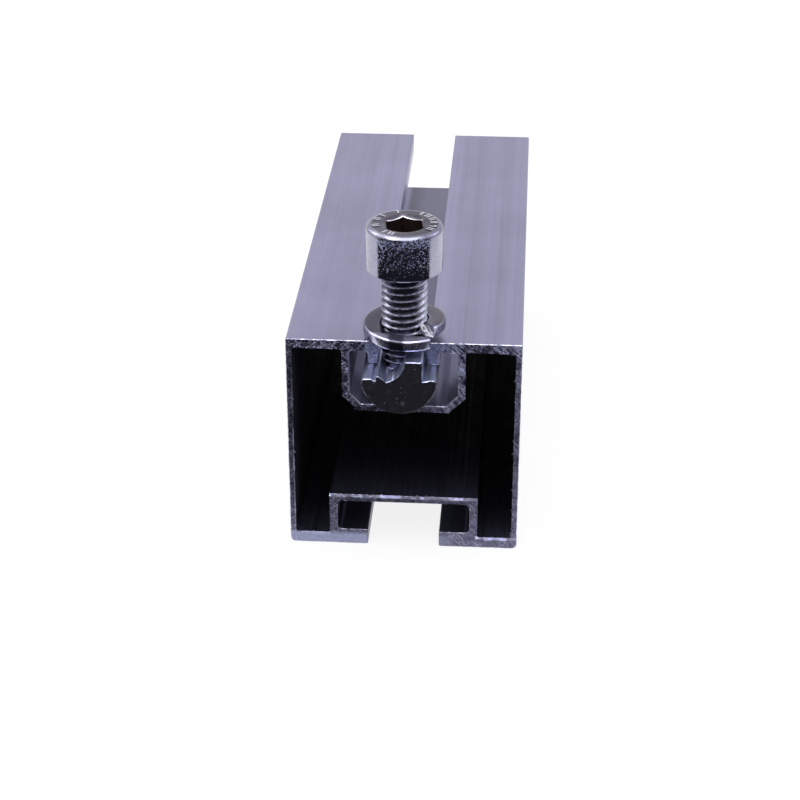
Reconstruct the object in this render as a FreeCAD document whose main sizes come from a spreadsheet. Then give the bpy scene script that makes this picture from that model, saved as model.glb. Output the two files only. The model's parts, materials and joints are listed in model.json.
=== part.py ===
import FreeCAD, Part
import math
import os
import Sketcher

# A short length of extruded aluminium rail for solar modules. A round-bodied slot nut sits in the
# channel under its top slot, a socket-head cap screw stands in the nut, and a split spring washer lies
# loose round the screw. Millimetres; +X across the rail, +Y along it towards the far end, +Z up. The
# origin is at the middle of the rail's length, on the plane of its underside.

SIZES = {
    # rail: outside and plain walls
    "rail_length": 100.0,
    "rail_width": 40.0,
    "rail_height": 40.0,
    "side_wall": 1.0,
    "top_wall": 1.7,
    "bottom_wall": 2.1,
    "rail_top_radius": 0.3,
    "rail_foot_radius": 0.9,
    "hollow_radius": 0.5,
    # rail: upper channel, which holds the slot nut
    "slot_clearance": 0.5,
    "lip_wall": 1.65,
    "lip_depth": 4.2,
    "lip_radius": 0.4,
    "nut_channel_roof": 1.95,
    "nut_channel_width": 18.5,
    "nut_channel_depth": 12.0,
    "nut_channel_bevel": 2.0,
    "nut_channel_wall": 1.25,
    "nut_channel_radius": 0.4,
    # rail: lower channel, for the heads of hammer-head bolts
    "foot_slot_width": 12.5,
    "foot_lip_height": 2.9,
    "foot_lip_radius": 0.3,
    "foot_channel_width": 23.2,
    "foot_channel_top": 8.6,
    "foot_channel_wall": 1.4,
    "foot_channel_radius": 0.9,
    # slot nut
    "nut_setback": 2.4,
    "nut_length": 16.0,
    "nut_seat_gap": 0.1,
    "nut_play": 1.33,
    "nut_shift": 0.4,
    "nut_corner_radius": 0.35,
    "hook_gap": 0.12,
    "hook_width": 0.45,
    "hook_height": 0.55,
    "hook_radius": 0.18,
    "dip_width": 0.3,
    "dip_depth": 0.3,
    "lobe_land": 0.35,
    "valley_width": 1.35,
    "valley_depth": 0.5,
    "valley_radius": 4.1,
    "neck_left": 0.5,
    "neck_gap": 0.9,
    "neck_height": 3.3,
    "neck_radius": 0.35,
    # cap screw
    "shank_diameter": 7.8,
    "thread_gap": 0.05,
    "screw_length": 24.6,
    "tip_bevel": 0.9,
    "tip_gap": 0.05,
    "head_diameter": 12.8,
    "head_height": 8.0,
    "head_edge_radius": 0.6,
    "head_foot_bevel": 0.2,
    "socket_flats": 6.0,
    "socket_depth": 4.0,
    "socket_turn": 8.0,
    "socket_mouth_diameter": 7.5,
    # spring washer
    "washer_clearance": 0.15,
    "washer_width": 2.9,
    "washer_thickness": 2.0,
    "washer_rise": 1.95,
    "washer_turn": 354.0,
    "washer_edge_bevel": 0.2,
    "washer_low_end": 48.0,
    "washer_gap": 0.05,
}

# Sizes that follow from the ones above.
DERIVED = {
    "slot_half": "shank_diameter / 2 + slot_clearance",
    "lip_outside": "slot_half + lip_wall",
    "lip_foot": "rail_height - lip_depth",
    "nut_channel_half": "nut_channel_width / 2",
    "nut_channel_outside": "nut_channel_half + nut_channel_wall",
    "nut_channel_floor": "rail_height - nut_channel_depth",
    "nut_channel_base": "nut_channel_floor - nut_channel_wall",
    "nut_channel_ceiling": "rail_height - nut_channel_roof",
    "outer_bevel": "nut_channel_bevel + nut_channel_wall * (2 - sqrt(2))",
    "hollow_half": "rail_width / 2 - side_wall",
    "hollow_ceiling": "rail_height - top_wall",
    "foot_slot_half": "foot_slot_width / 2",
    "foot_channel_half": "foot_channel_width / 2",
    "foot_channel_outside": "foot_channel_half + foot_channel_wall",
    "foot_channel_crown": "foot_channel_top + foot_channel_wall",
    "screw_place": "nut_setback - rail_length / 2",
    "nut_seat": "lip_foot - nut_seat_gap",
    "nut_radius": "nut_seat - nut_channel_floor - nut_play",
    "hook_left": "slot_half - hook_gap",
    "hook_right": "hook_left - hook_width",
    "valley_place": "hook_right - valley_width",
    "neck_right": "slot_half - neck_gap",
    "nut_bore_radius": "shank_diameter / 2 + thread_gap",
    "tip_place": "nut_channel_floor + tip_gap",
    "screw_top": "screw_length + head_height",
    "socket_corner": "socket_flats / sqrt(3)",
    "washer_inside": "shank_diameter / 2 + washer_clearance",
    "washer_outside": "washer_inside + washer_width",
    "washer_place": "rail_height + washer_gap",
}

# Way in which a pad or a cut runs equally far to both sides of its sketch.
BOTH_WAYS = "Symmetric"

# An edge's start, end and centre count from one in a sketch, and the sketch's own axes count down from
# minus one. Its origin is the start of the first axis.
START, END, CENTRE = range(1, 4)
ACROSS_AXIS, UP_AXIS = range(-1, -3, -1)
ORIGIN_POINT = (ACROSS_AXIS, START)

# An edge shorter than this is never a lengthwise one, and points nearer than this are the same.
SHORTEST_RUN = 1.0
SAME_PLACE = 1e-4


def make_sheet(doc):
    """Write the driving sizes and the sizes that follow from them into the sheet."""
    sheet = doc.addObject("Spreadsheet::Sheet", "Sizes")
    rows = list(SIZES.items()) + [(name, "=" + formula) for name, formula in DERIVED.items()]
    for row, (name, content) in enumerate(rows, start=1):
        sheet.set(f"A{row}", name)
        sheet.set(f"B{row}", str(content))
        sheet.setAlias(f"B{row}", name)
    doc.recompute()
    return sheet


def linked(formula):
    """Put the sheet's name before each size that a formula uses."""
    names = sorted([*SIZES, *DERIVED], key=len, reverse=True)
    pieces = []
    word = ""
    for sign in formula + " ":
        if sign.isalnum() or sign == "_":
            word += sign
            continue
        pieces.append(f"Sizes.{word}" if word in names else word)
        pieces.append(sign)
        word = ""
    return "".join(pieces).strip()


def value(sheet, formula):
    """The number that a formula of the sheet's sizes gives now."""
    return float(sheet.evalExpression(linked(formula)))


def new_body(doc, label):
    body = doc.addObject("PartDesign::Body", label)
    body.Label = label
    return body


def origin_part(body, role):
    return next(part for part in body.Origin.OriginFeatures if part.Role == role)


def new_sketch(body, name, plane, height=None):
    """A sketch on one of the body's own planes, raised along its normal by a formula."""
    sketch = body.newObject("Sketcher::SketchObject", name)
    sketch.AttachmentSupport = [(origin_part(body, plane), "")]
    sketch.MapMode = "FlatFace"
    if height:
        sketch.setExpression("AttachmentOffset.Base.z", linked(height))
    body.Document.recompute()
    return sketch


def tie(sketch, kind, targets, formula, sheet):
    """Add a driving size to a sketch and bind it to a formula."""
    index = sketch.addConstraint(Sketcher.Constraint(kind, *targets, value(sheet, formula)))
    sketch.setExpression(f"Constraints[{index}]", linked(formula))


def tie_point(sketch, edge, end, place, sheet):
    """Tie one end of an edge to its two coordinates, or to an axis where one of them is zero."""
    across, up = place
    if across == "0":
        sketch.addConstraint(Sketcher.Constraint("PointOnObject", edge, end, UP_AXIS))
    else:
        tie(sketch, "DistanceX", (*ORIGIN_POINT, edge, end), across, sheet)
    if up == "0":
        sketch.addConstraint(Sketcher.Constraint("PointOnObject", edge, end, ACROSS_AXIS))
    else:
        tie(sketch, "DistanceY", (*ORIGIN_POINT, edge, end), up, sheet)


def arc_between(start, end, radius, side):
    """The shorter arc between two points, with its centre to the left (1) or right (-1) of the way."""
    way = end - start
    half = way.Length / 2
    reach = math.sqrt(max(radius**2 - half**2, 0))
    left = FreeCAD.Vector(-way.y, way.x, 0).normalize()
    centre = start + way * 0.5 + left * (reach * side)
    turns = [math.atan2(point.y - centre.y, point.x - centre.x) for point in (start, end)]
    if side < 0:
        turns.reverse()
    circle = Part.Circle(centre, FreeCAD.Vector(0, 0, 1), radius)
    return Part.ArcOfCircle(circle, *turns)


def draw_profile(sketch, corners, sheet):
    """Draw a closed profile. A corner is (across, up), or (across, up, radius, side) before an arc."""
    first = sketch.GeometryCount
    points = [FreeCAD.Vector(value(sheet, c[0]), value(sheet, c[1]), 0) for c in corners]
    starts = []
    for index, corner in enumerate(corners):
        start = points[index]
        end = points[(index + 1) % len(points)]
        if len(corner) == 2:
            sketch.addGeometry(Part.LineSegment(start, end))
            starts.append(START)
        else:
            radius, side = corner[2:]
            sketch.addGeometry(arc_between(start, end, value(sheet, radius), side))
            starts.append(START if side > 0 else END)
    for index, corner in enumerate(corners):
        edge = first + index
        after = first + (index + 1) % len(corners)
        finish = END if starts[index] == START else START
        begin_after = starts[(index + 1) % len(corners)]
        sketch.addConstraint(Sketcher.Constraint("Coincident", edge, finish, after, begin_after))
        tie_point(sketch, edge, starts[index], corner[:2], sheet)
        if len(corner) > 2:
            tie(sketch, "Radius", (edge,), corner[2], sheet)


def mirrored(corners):
    """The corners of a half profile, followed by their mirror images on the other side."""
    others = [(f"-({across})", up) for across, up in reversed(corners)]
    return corners + others


def lengthwise_edges(body, corners, sheet):
    """Names of the straight edges along Y that pass through the given places of the section."""
    places = [(value(sheet, across), value(sheet, up)) for across, up in corners]
    names = []
    for index, edge in enumerate(body.Tip.Shape.Edges, start=1):
        ends = [vertex.Point for vertex in edge.Vertexes]
        if len(ends) != 2 or abs(ends[0].y - ends[1].y) < SHORTEST_RUN:
            continue
        if any(abs(ends[0].x - x) + abs(ends[0].z - z) < SAME_PLACE for x, z in places):
            names.append(f"Edge{index}")
    return names


def round_corners(body, name, radius, corners, sheet):
    """Round the lengthwise edges at the given corners of the section."""
    names = lengthwise_edges(body, corners, sheet)
    if len(names) != len(corners):
        raise RuntimeError(f"{name}: {len(names)} edges for {len(corners)} corners")
    base = body.Tip
    fillet = body.newObject("PartDesign::Fillet", name)
    fillet.Base = (base, names)
    fillet.setExpression("Radius", linked(radius))
    body.Document.recompute()


def both_sides(*corners):
    return [place for across, up in corners for place in ((across, up), (f"-({across})", up))]


def pad_through(body, sketch, name, length):
    """Extrude a section by half its length to each side of its plane."""
    pad = body.newObject("PartDesign::Pad", name)
    pad.Profile = sketch
    pad.SideType = BOTH_WAYS
    pad.setExpression("Length", linked(length))
    body.Document.recompute()


def checked_cut(body, feature):
    """Recompute and make sure that a cut has taken material away."""
    before = feature.BaseFeature.Shape.Volume
    body.Document.recompute()
    if not feature.Shape.Volume < before:
        raise RuntimeError(f"{feature.Name} cuts nothing")


def revolved(body, kind, sketch, name):
    """Turn a half section round the body's own Z axis."""
    feature = body.newObject(kind, name)
    feature.Profile = sketch
    feature.ReferenceAxis = (sketch, ["V_Axis"])
    feature.Angle = 360
    body.Document.recompute()
    return feature


def place_body(body, forward, up, turn=None):
    """Stand a body at its place in the rail, by formulas."""
    body.setExpression("Placement.Base.y", linked(forward))
    body.setExpression("Placement.Base.z", linked(up))
    if turn:
        body.Placement.Rotation = FreeCAD.Rotation(FreeCAD.Vector(0, 0, 1), 1)
        body.setExpression("Placement.Rotation.Angle", linked(turn))


# Rail: one extruded section. The outline runs into both channels through their slots, and one
# H-shaped hollow fills the rest between the channels and the side walls.
def make_rail(doc, sheet):
    body = new_body(doc, "rail")
    right_half = [
        ("foot_slot_half", "0"),
        ("rail_width / 2", "0"),
        ("rail_width / 2", "rail_height"),
        ("slot_half", "rail_height"),
        ("slot_half", "lip_foot"),
        ("lip_outside", "lip_foot"),
        ("lip_outside", "nut_channel_ceiling"),
        ("nut_channel_half", "nut_channel_ceiling"),
        ("nut_channel_half", "nut_channel_floor + nut_channel_bevel"),
        ("nut_channel_half - nut_channel_bevel", "nut_channel_floor"),
    ]
    foot_channel = [
        ("-foot_slot_half", "foot_lip_height"),
        ("-foot_channel_half", "foot_lip_height"),
        ("-foot_channel_half", "foot_channel_top"),
        ("foot_channel_half", "foot_channel_top"),
        ("foot_channel_half", "foot_lip_height"),
        ("foot_slot_half", "foot_lip_height"),
    ]
    section = new_sketch(body, "rail_section", "XZ_Plane")
    draw_profile(section, mirrored(right_half) + foot_channel, sheet)
    hollow_half = [
        ("foot_channel_outside", "foot_channel_crown"),
        ("foot_channel_outside", "bottom_wall"),
        ("hollow_half", "bottom_wall"),
        ("hollow_half", "hollow_ceiling"),
        ("nut_channel_outside", "hollow_ceiling"),
        ("nut_channel_outside", "nut_channel_base + outer_bevel"),
        ("nut_channel_outside - outer_bevel", "nut_channel_base"),
    ]
    draw_profile(section, mirrored(hollow_half), sheet)
    pad_through(body, section, "rail_extrusion", "rail_length")
    top_corners = both_sides(("rail_width / 2", "rail_height"))
    round_corners(body, "rail_top_edges", "rail_top_radius", top_corners, sheet)
    bottom_corners = both_sides(("rail_width / 2", "0"))
    round_corners(body, "rail_foot_edges", "rail_foot_radius", bottom_corners, sheet)
    lip_corners = both_sides(("slot_half", "lip_foot"), ("lip_outside", "lip_foot"))
    round_corners(body, "lip_edges", "lip_radius", lip_corners, sheet)
    foot_lips = both_sides(("foot_slot_half", "0"), ("foot_slot_half", "foot_lip_height"))
    round_corners(body, "foot_lip_edges", "foot_lip_radius", foot_lips, sheet)
    inner_corners = both_sides(
        ("lip_outside", "nut_channel_ceiling"),
        ("nut_channel_half", "nut_channel_ceiling"),
        ("nut_channel_half", "nut_channel_floor + nut_channel_bevel"),
        ("nut_channel_half - nut_channel_bevel", "nut_channel_floor"),
    )
    round_corners(body, "nut_channel_corners", "nut_channel_radius", inner_corners, sheet)
    foot_corners = both_sides(
        ("foot_channel_half", "foot_lip_height"),
        ("foot_channel_half", "foot_channel_top"),
    )
    round_corners(body, "foot_channel_corners", "foot_channel_radius", foot_corners, sheet)
    round_corners(body, "hollow_corners", "hollow_radius", both_sides(*hollow_half), sheet)
    return body


# Slot nut: an extruded piece with a round belly. A lobe on each side bears up against a lip of the
# rail, a small hook stands inside one lip and an off-centre neck reaches up into the slot. Its own
# frame has the screw's axis as Z and the plane where the lobes bear as its zero height.
def make_channel_nut(doc, sheet):
    body = new_body(doc, "channel_nut")
    left_corner = "-(nut_shift + nut_radius)"
    right_corner = "nut_radius - nut_shift"
    corners = [
        (left_corner, "0", "nut_radius", 1),
        ("-nut_shift", "-nut_radius", "nut_radius", 1),
        (right_corner, "0"),
        ("slot_half + lobe_land", "0"),
        ("neck_right", "-dip_depth"),
        ("neck_right", "neck_height"),
        ("neck_left", "neck_height", "valley_radius", -1),
        ("-valley_place", "-valley_depth"),
        ("-hook_right", "hook_height"),
        ("-hook_left", "hook_height"),
        ("-hook_left", "-dip_depth"),
        ("-(slot_half + dip_width)", "-dip_depth"),
        ("-(slot_half + dip_width + lobe_land)", "0"),
    ]
    section = new_sketch(body, "nut_section", "XZ_Plane")
    draw_profile(section, corners, sheet)
    pad_through(body, section, "nut_extrusion", "nut_length")
    round_corners(body, "lobe_edges", "nut_corner_radius", [(left_corner, "0"), (right_corner, "0")], sheet)
    neck_corners = [("neck_right", "neck_height"), ("neck_left", "neck_height")]
    round_corners(body, "neck_edges", "neck_radius", neck_corners, sheet)
    hook_corners = [("-hook_right", "hook_height"), ("-hook_left", "hook_height")]
    round_corners(body, "hook_edges", "hook_radius", hook_corners, sheet)
    bore_circle = new_sketch(body, "nut_bore_circle", "XY_Plane")
    bore_size = value(sheet, "nut_bore_radius")
    bore_circle.addGeometry(Part.Circle(FreeCAD.Vector(0, 0, 0), FreeCAD.Vector(0, 0, 1), bore_size))
    bore_circle.addConstraint(Sketcher.Constraint("Coincident", 0, CENTRE, *ORIGIN_POINT))
    tie(bore_circle, "Radius", (0,), "nut_bore_radius", sheet)
    bore = body.newObject("PartDesign::Pocket", "nut_bore")
    bore.Profile = bore_circle
    bore.SideType = BOTH_WAYS
    bore.Type = "ThroughAll"
    checked_cut(body, bore)
    place_body(body, "screw_place", "nut_seat")
    return body


# Cap screw: a turned shank and head with a hexagon socket. Its own frame starts at the tip.
def make_cap_screw(doc, sheet):
    body = new_body(doc, "cap_screw")
    outline = new_sketch(body, "screw_outline", "XZ_Plane")
    shank = "shank_diameter / 2"
    head = "head_diameter / 2"
    corners = [
        ("0", "0"),
        (f"{shank} - tip_bevel", "0"),
        (shank, "tip_bevel"),
        (shank, "screw_length"),
        (f"{head} - head_foot_bevel", "screw_length"),
        (head, "screw_length + head_foot_bevel"),
        (head, "screw_top - head_edge_radius", "head_edge_radius", 1),
        (f"{head} - head_edge_radius", "screw_top"),
        ("0", "screw_top"),
    ]
    draw_profile(outline, corners, sheet)
    revolved(body, "PartDesign::Revolution", outline, "screw_turning")
    hexagon = new_sketch(body, "socket_hexagon", "XY_Plane", "screw_top")
    hexagon_corners = []
    for side in range(6):
        turn = f"socket_turn + {90 + 60 * side}"
        hexagon_corners.append((f"socket_corner * cos({turn})", f"socket_corner * sin({turn})"))
    draw_profile(hexagon, hexagon_corners, sheet)
    socket = body.newObject("PartDesign::Pocket", "socket")
    socket.Profile = hexagon
    socket.setExpression("Length", linked("socket_depth"))
    checked_cut(body, socket)
    mouth = new_sketch(body, "socket_mouth_section", "XZ_Plane")
    mouth_radius = "socket_mouth_diameter / 2"
    mouth_foot = f"screw_top - ({mouth_radius} - socket_flats / 2)"
    mouth_corners = [
        ("0", mouth_foot),
        ("socket_flats / 2", mouth_foot),
        (mouth_radius, "screw_top"),
        ("0", "screw_top"),
    ]
    draw_profile(mouth, mouth_corners, sheet)
    checked_cut(body, revolved(body, "PartDesign::Groove", mouth, "socket_mouth"))
    drill = new_sketch(body, "socket_foot_section", "XZ_Plane")
    drill_top = "screw_top - socket_depth"
    drill_foot = f"{drill_top} - socket_flats / 2 / sqrt(3)"
    draw_profile(drill, [("0", drill_foot), ("socket_flats / 2", drill_top), ("0", drill_top)], sheet)
    checked_cut(body, revolved(body, "PartDesign::Groove", drill, "socket_foot"))
    place_body(body, "screw_place", "tip_place")
    return body


# Spring washer: one turn of a flat bar wound on a left-hand helix, cut through, with its two ends
# sprung apart. Its own frame has the winding's axis as Z and starts at the low end.
def make_lock_washer(doc, sheet):
    body = new_body(doc, "lock_washer")
    bar = new_sketch(body, "washer_bar", "XZ_Plane")
    edge = "washer_edge_bevel"
    inside = "washer_inside"
    outside = "washer_outside"
    top = "washer_thickness"
    corners = [
        (f"{inside} + {edge}", "0"),
        (f"{outside} - {edge}", "0"),
        (outside, edge),
        (outside, f"{top} - {edge}"),
        (f"{outside} - {edge}", top),
        (f"{inside} + {edge}", top),
        (inside, f"{top} - {edge}"),
        (inside, edge),
    ]
    draw_profile(bar, corners, sheet)
    winding = body.newObject("PartDesign::AdditiveHelix", "washer_winding")
    winding.Profile = bar
    winding.ReferenceAxis = (bar, ["V_Axis"])
    winding.Mode = "pitch-turns-angle"
    winding.LeftHanded = True
    winding.setExpression("Turns", linked("washer_turn / 360"))
    winding.setExpression("Pitch", linked("washer_rise * 360 / washer_turn"))
    doc.recompute()
    place_body(body, "screw_place", "washer_place", "-washer_low_end")
    return body


def check_document(doc, bodies):
    """Stop if any object failed, or if a piece is not one valid solid."""
    doc.recompute()
    for item in doc.Objects:
        if any(mark in item.State for mark in ("Invalid", "Error")):
            raise RuntimeError(f"{item.Label}: {item.State}")
    for body in bodies:
        shape = body.Shape
        if shape.isNull() or not shape.isValid() or len(shape.Solids) != 1:
            raise RuntimeError(f"{body.Label} is not one valid solid")
        box = shape.BoundBox
        spans = [box.XMin, box.XMax, box.YMin, box.YMax, box.ZMin, box.ZMax]
        print(body.Label, round(shape.Volume, 1), [round(span, 2) for span in spans])


def main():
    doc = FreeCAD.newDocument("rail_with_slot_nut")
    sheet = make_sheet(doc)
    bodies = [
        make_rail(doc, sheet),
        make_channel_nut(doc, sheet),
        make_cap_screw(doc, sheet),
        make_lock_washer(doc, sheet),
    ]
    check_document(doc, bodies)
    os.makedirs("parts", exist_ok=True)
    for body in bodies:
        body.Shape.exportStep(f"parts/{body.Label}.step")


main()
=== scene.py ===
"""Finished look of the end of a solar mounting rail, with its slot nut, cap screw and spring washer.

Sizes are in millimetres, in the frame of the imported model: X across the rail, Y along it away from the
screw's end, Z up, with the origin at mid-length on the underside. Meshes are built in millimetres and
brought to metres when they become pieces.
"""

import json
import logging
import math
from collections.abc import Iterator, Sequence
from contextlib import contextmanager
from dataclasses import dataclass, field
from enum import Enum, IntEnum
from functools import cached_property, reduce

import bmesh
import bpy
import numpy as np
from mathutils import Matrix, Quaternion, Vector, geometry

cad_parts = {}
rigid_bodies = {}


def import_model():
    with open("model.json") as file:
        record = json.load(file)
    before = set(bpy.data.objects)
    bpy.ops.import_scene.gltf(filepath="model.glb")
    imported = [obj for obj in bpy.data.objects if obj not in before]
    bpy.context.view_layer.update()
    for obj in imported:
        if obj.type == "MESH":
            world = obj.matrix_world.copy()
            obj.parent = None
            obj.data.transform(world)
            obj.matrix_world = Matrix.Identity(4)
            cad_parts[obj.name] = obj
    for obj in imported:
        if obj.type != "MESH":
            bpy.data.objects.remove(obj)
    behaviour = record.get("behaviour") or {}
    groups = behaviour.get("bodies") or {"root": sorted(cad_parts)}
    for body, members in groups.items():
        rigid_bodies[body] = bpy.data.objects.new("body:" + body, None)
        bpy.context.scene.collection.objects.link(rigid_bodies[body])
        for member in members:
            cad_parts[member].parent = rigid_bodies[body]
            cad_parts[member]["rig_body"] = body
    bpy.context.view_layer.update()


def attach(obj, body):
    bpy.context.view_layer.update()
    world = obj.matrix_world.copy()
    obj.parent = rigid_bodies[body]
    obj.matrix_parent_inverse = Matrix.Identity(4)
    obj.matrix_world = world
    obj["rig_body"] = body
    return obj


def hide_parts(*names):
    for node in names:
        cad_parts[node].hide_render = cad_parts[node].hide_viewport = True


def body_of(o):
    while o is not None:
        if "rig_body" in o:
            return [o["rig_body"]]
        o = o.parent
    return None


LOG = logging.getLogger("rail_scene")
METRES = 0.001
MERGE_DISTANCE = 0.0005
FULL_TURN = 2 * math.pi
SCREW_PLACE = -47.6
SCREW_TIP = 28.05

Material = bpy.types.Material
Mesh = bpy.types.Mesh
Piece = bpy.types.Object
Triple = tuple[float, float, float]
Colour = Triple
Span = tuple[float, float]
Fade = tuple[Span, Span]
Number = "Value | float"


class Body(Enum):
    """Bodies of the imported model."""

    RAIL = "rail_body"
    NUT = "nut_body"
    WASHER = "washer_body"
    SCREW = "screw_body"


class Slot(Enum):
    """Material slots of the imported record."""

    RAIL = "mill_aluminium"
    NUT = "nut_aluminium"
    SCREW = "stainless_screw"
    WASHER = "stainless_washer"


class RailFace(IntEnum):
    """Finish of a face of the rail."""

    DRAWN = 0
    HOLLOW = 1
    SAWN = 2


class NutFace(IntEnum):
    """Finish of a face of the slot nut."""

    DRAWN = 0
    CUT = 1
    ARRIS = 2


class ScrewFace(IntEnum):
    """Finish of a face of the cap screw."""

    SIDE = 0
    CROWN = 1
    THREAD = 2
    SOCKET = 3
    MARK = 4


class WasherFace(IntEnum):
    """Finish of a face of the spring washer."""

    SIDE = 0
    TOP = 1
    TORN = 2


# Node trees -----------------------------------------------


class Value:
    """A number, vector, colour or shape in a node tree. Arithmetic on it adds nodes to the tree."""

    def __init__(self, graph: "Graph", socket: bpy.types.NodeSocket) -> None:
        """Keep the socket that the value comes out of, and the graph that adds its nodes."""
        self.graph = graph
        self.socket = socket

    def __add__(self, other: Number) -> "Value":
        """Sum."""
        return self.graph.math("ADD", self, other)

    def __sub__(self, other: Number) -> "Value":
        """Difference."""
        return self.graph.math("SUBTRACT", self, other)

    def __rsub__(self, other: float) -> "Value":
        """What this leaves of a number."""
        return self.graph.math("SUBTRACT", other, self)

    def __mul__(self, other: Number) -> "Value":
        """Product."""
        return self.graph.math("MULTIPLY", self, other)

    def __truediv__(self, other: Number) -> "Value":
        """Quotient."""
        return self.graph.math("DIVIDE", self, other)

    def __rtruediv__(self, other: float) -> "Value":
        """A number divided by this."""
        return self.graph.math("DIVIDE", other, self)

    def __lt__(self, other: Number) -> "Value":
        """One below the other, else zero."""
        return self.graph.math("LESS_THAN", self, other)

    def __gt__(self, other: Number) -> "Value":
        """One above the other, else zero."""
        return self.graph.math("GREATER_THAN", self, other)

    def __or__(self, other: Number) -> "Value":
        """Greater of the two, which joins two masks."""
        return self.graph.math("MAXIMUM", self, other)

    def __abs__(self) -> "Value":
        """Size without the sign."""
        return self.graph.math("ABSOLUTE", self)

    def rescale(
        self, source: tuple[Number, Number], target: tuple[Number, Number] = (0.0, 1.0), smooth: bool = False
    ) -> "Value":
        """Bring the number from one range to another, held at its ends.

        Args:
            source: Range that it comes from.
            target: Range that it goes to.
            smooth: Ease in and out of the range.

        Returns:
            The number in the new range.
        """
        kind = "SMOOTHSTEP" if smooth else "LINEAR"
        inputs = dict(enumerate((self, *source, *target)))
        return self.graph.put("ShaderNodeMapRange", inputs, interpolation_type=kind)

    def near(self, middle: float, reach: float) -> "Value":
        """One close to a middle, falling to zero at its reach."""
        return abs(self - middle).rescale((reach, reach / 2))

    def stretch(self, factors: Sequence[float]) -> "Value":
        """The vector with one factor for each axis."""
        return self.graph.put("ShaderNodeVectorMath", {0: self, 1: factors}, operation="MULTIPLY")

    def turned(self, axis: Sequence[float], angle: Number) -> "Value":
        """The vector turned round an axis through the origin."""
        return self.graph.put("ShaderNodeVectorRotate", {"Vector": self, "Axis": axis, "Angle": angle})

    def parts(self) -> tuple["Value", "Value", "Value"]:
        """The three numbers of the vector."""
        across, along, up = self.graph.add("ShaderNodeSeparateXYZ", {0: self}).outputs
        return Value(self.graph, across), Value(self.graph, along), Value(self.graph, up)


class Graph:
    """Adds nodes and links to one node tree."""

    def __init__(self, tree: bpy.types.NodeTree) -> None:
        """Keep the tree."""
        self.tree = tree

    def add(self, kind: str, inputs: dict | None = None, **settings: object) -> bpy.types.Node:
        """Add a node.

        Args:
            kind: Node type.
            inputs: Values by input name or number.
            settings: Properties of the node by name.

        Returns:
            The new node.
        """
        node = self.tree.nodes.new(kind)
        for name, value in settings.items():
            setattr(node, name, value)
        for key, value in (inputs or {}).items():
            if isinstance(value, Value):
                self.tree.links.new(value.socket, node.inputs[key])
            else:
                node.inputs[key].default_value = value
        return node

    def put(self, kind: str, inputs: dict | None = None, result: int | str = 0, **settings: object) -> Value:
        """Add a node and take one of its results."""
        return Value(self, self.add(kind, inputs, **settings).outputs[result])

    def math(self, operation: str, first: Number, second: Number = 0.0) -> Value:
        """Combine two numbers by a named operation."""
        return self.put("ShaderNodeMath", {0: first, 1: second}, operation=operation)

    def root(self, first: Value, second: Value) -> Value:
        """Length of a line that runs so far along two axes."""
        return self.math("SQRT", first * first + second * second)

    def joined(self, across: Number, along: Number, up: Number) -> Value:
        """A vector from three numbers."""
        return self.put("ShaderNodeCombineXYZ", {0: across, 1: along, 2: up})

    def wheeled(self, radius: Value, angle: Value, up: Number) -> Value:
        """A point at an angle round the upright axis."""
        return self.joined(radius * self.math("COSINE", angle), radius * self.math("SINE", angle), up)

    def noise(self, place: Value, scale: Number, detail: float, rough: float, seed: Number) -> Value:
        """Seeded noise from 0 to 1.

        Args:
            place: Vector that the noise is read at.
            scale: Features for each unit of the vector.
            detail: Octaves.
            rough: Weight of the finer octaves.
            seed: Fixed place on the noise's fourth axis.

        Returns:
            The noise.
        """
        inputs = {"Vector": place, "W": seed, "Scale": scale, "Detail": detail, "Roughness": rough}
        return self.put("ShaderNodeTexNoise", inputs, noise_dimensions="4D")


@dataclass(frozen=True)
class Pattern:
    """Noise of a finish.

    Attributes:
        scale: Features in a millimetre.
        detail: Octaves.
        rough: Weight of the finer octaves.
        step: Step from the finish's seed.
        span: Noise at which a mark of it starts and is full.
        shares: Strength of the marks at the two ends of the span.
    """

    scale: float
    detail: float
    rough: float
    step: float = 0.0
    span: Span = (0.0, 1.0)
    shares: Span = (0.0, 1.0)


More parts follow.
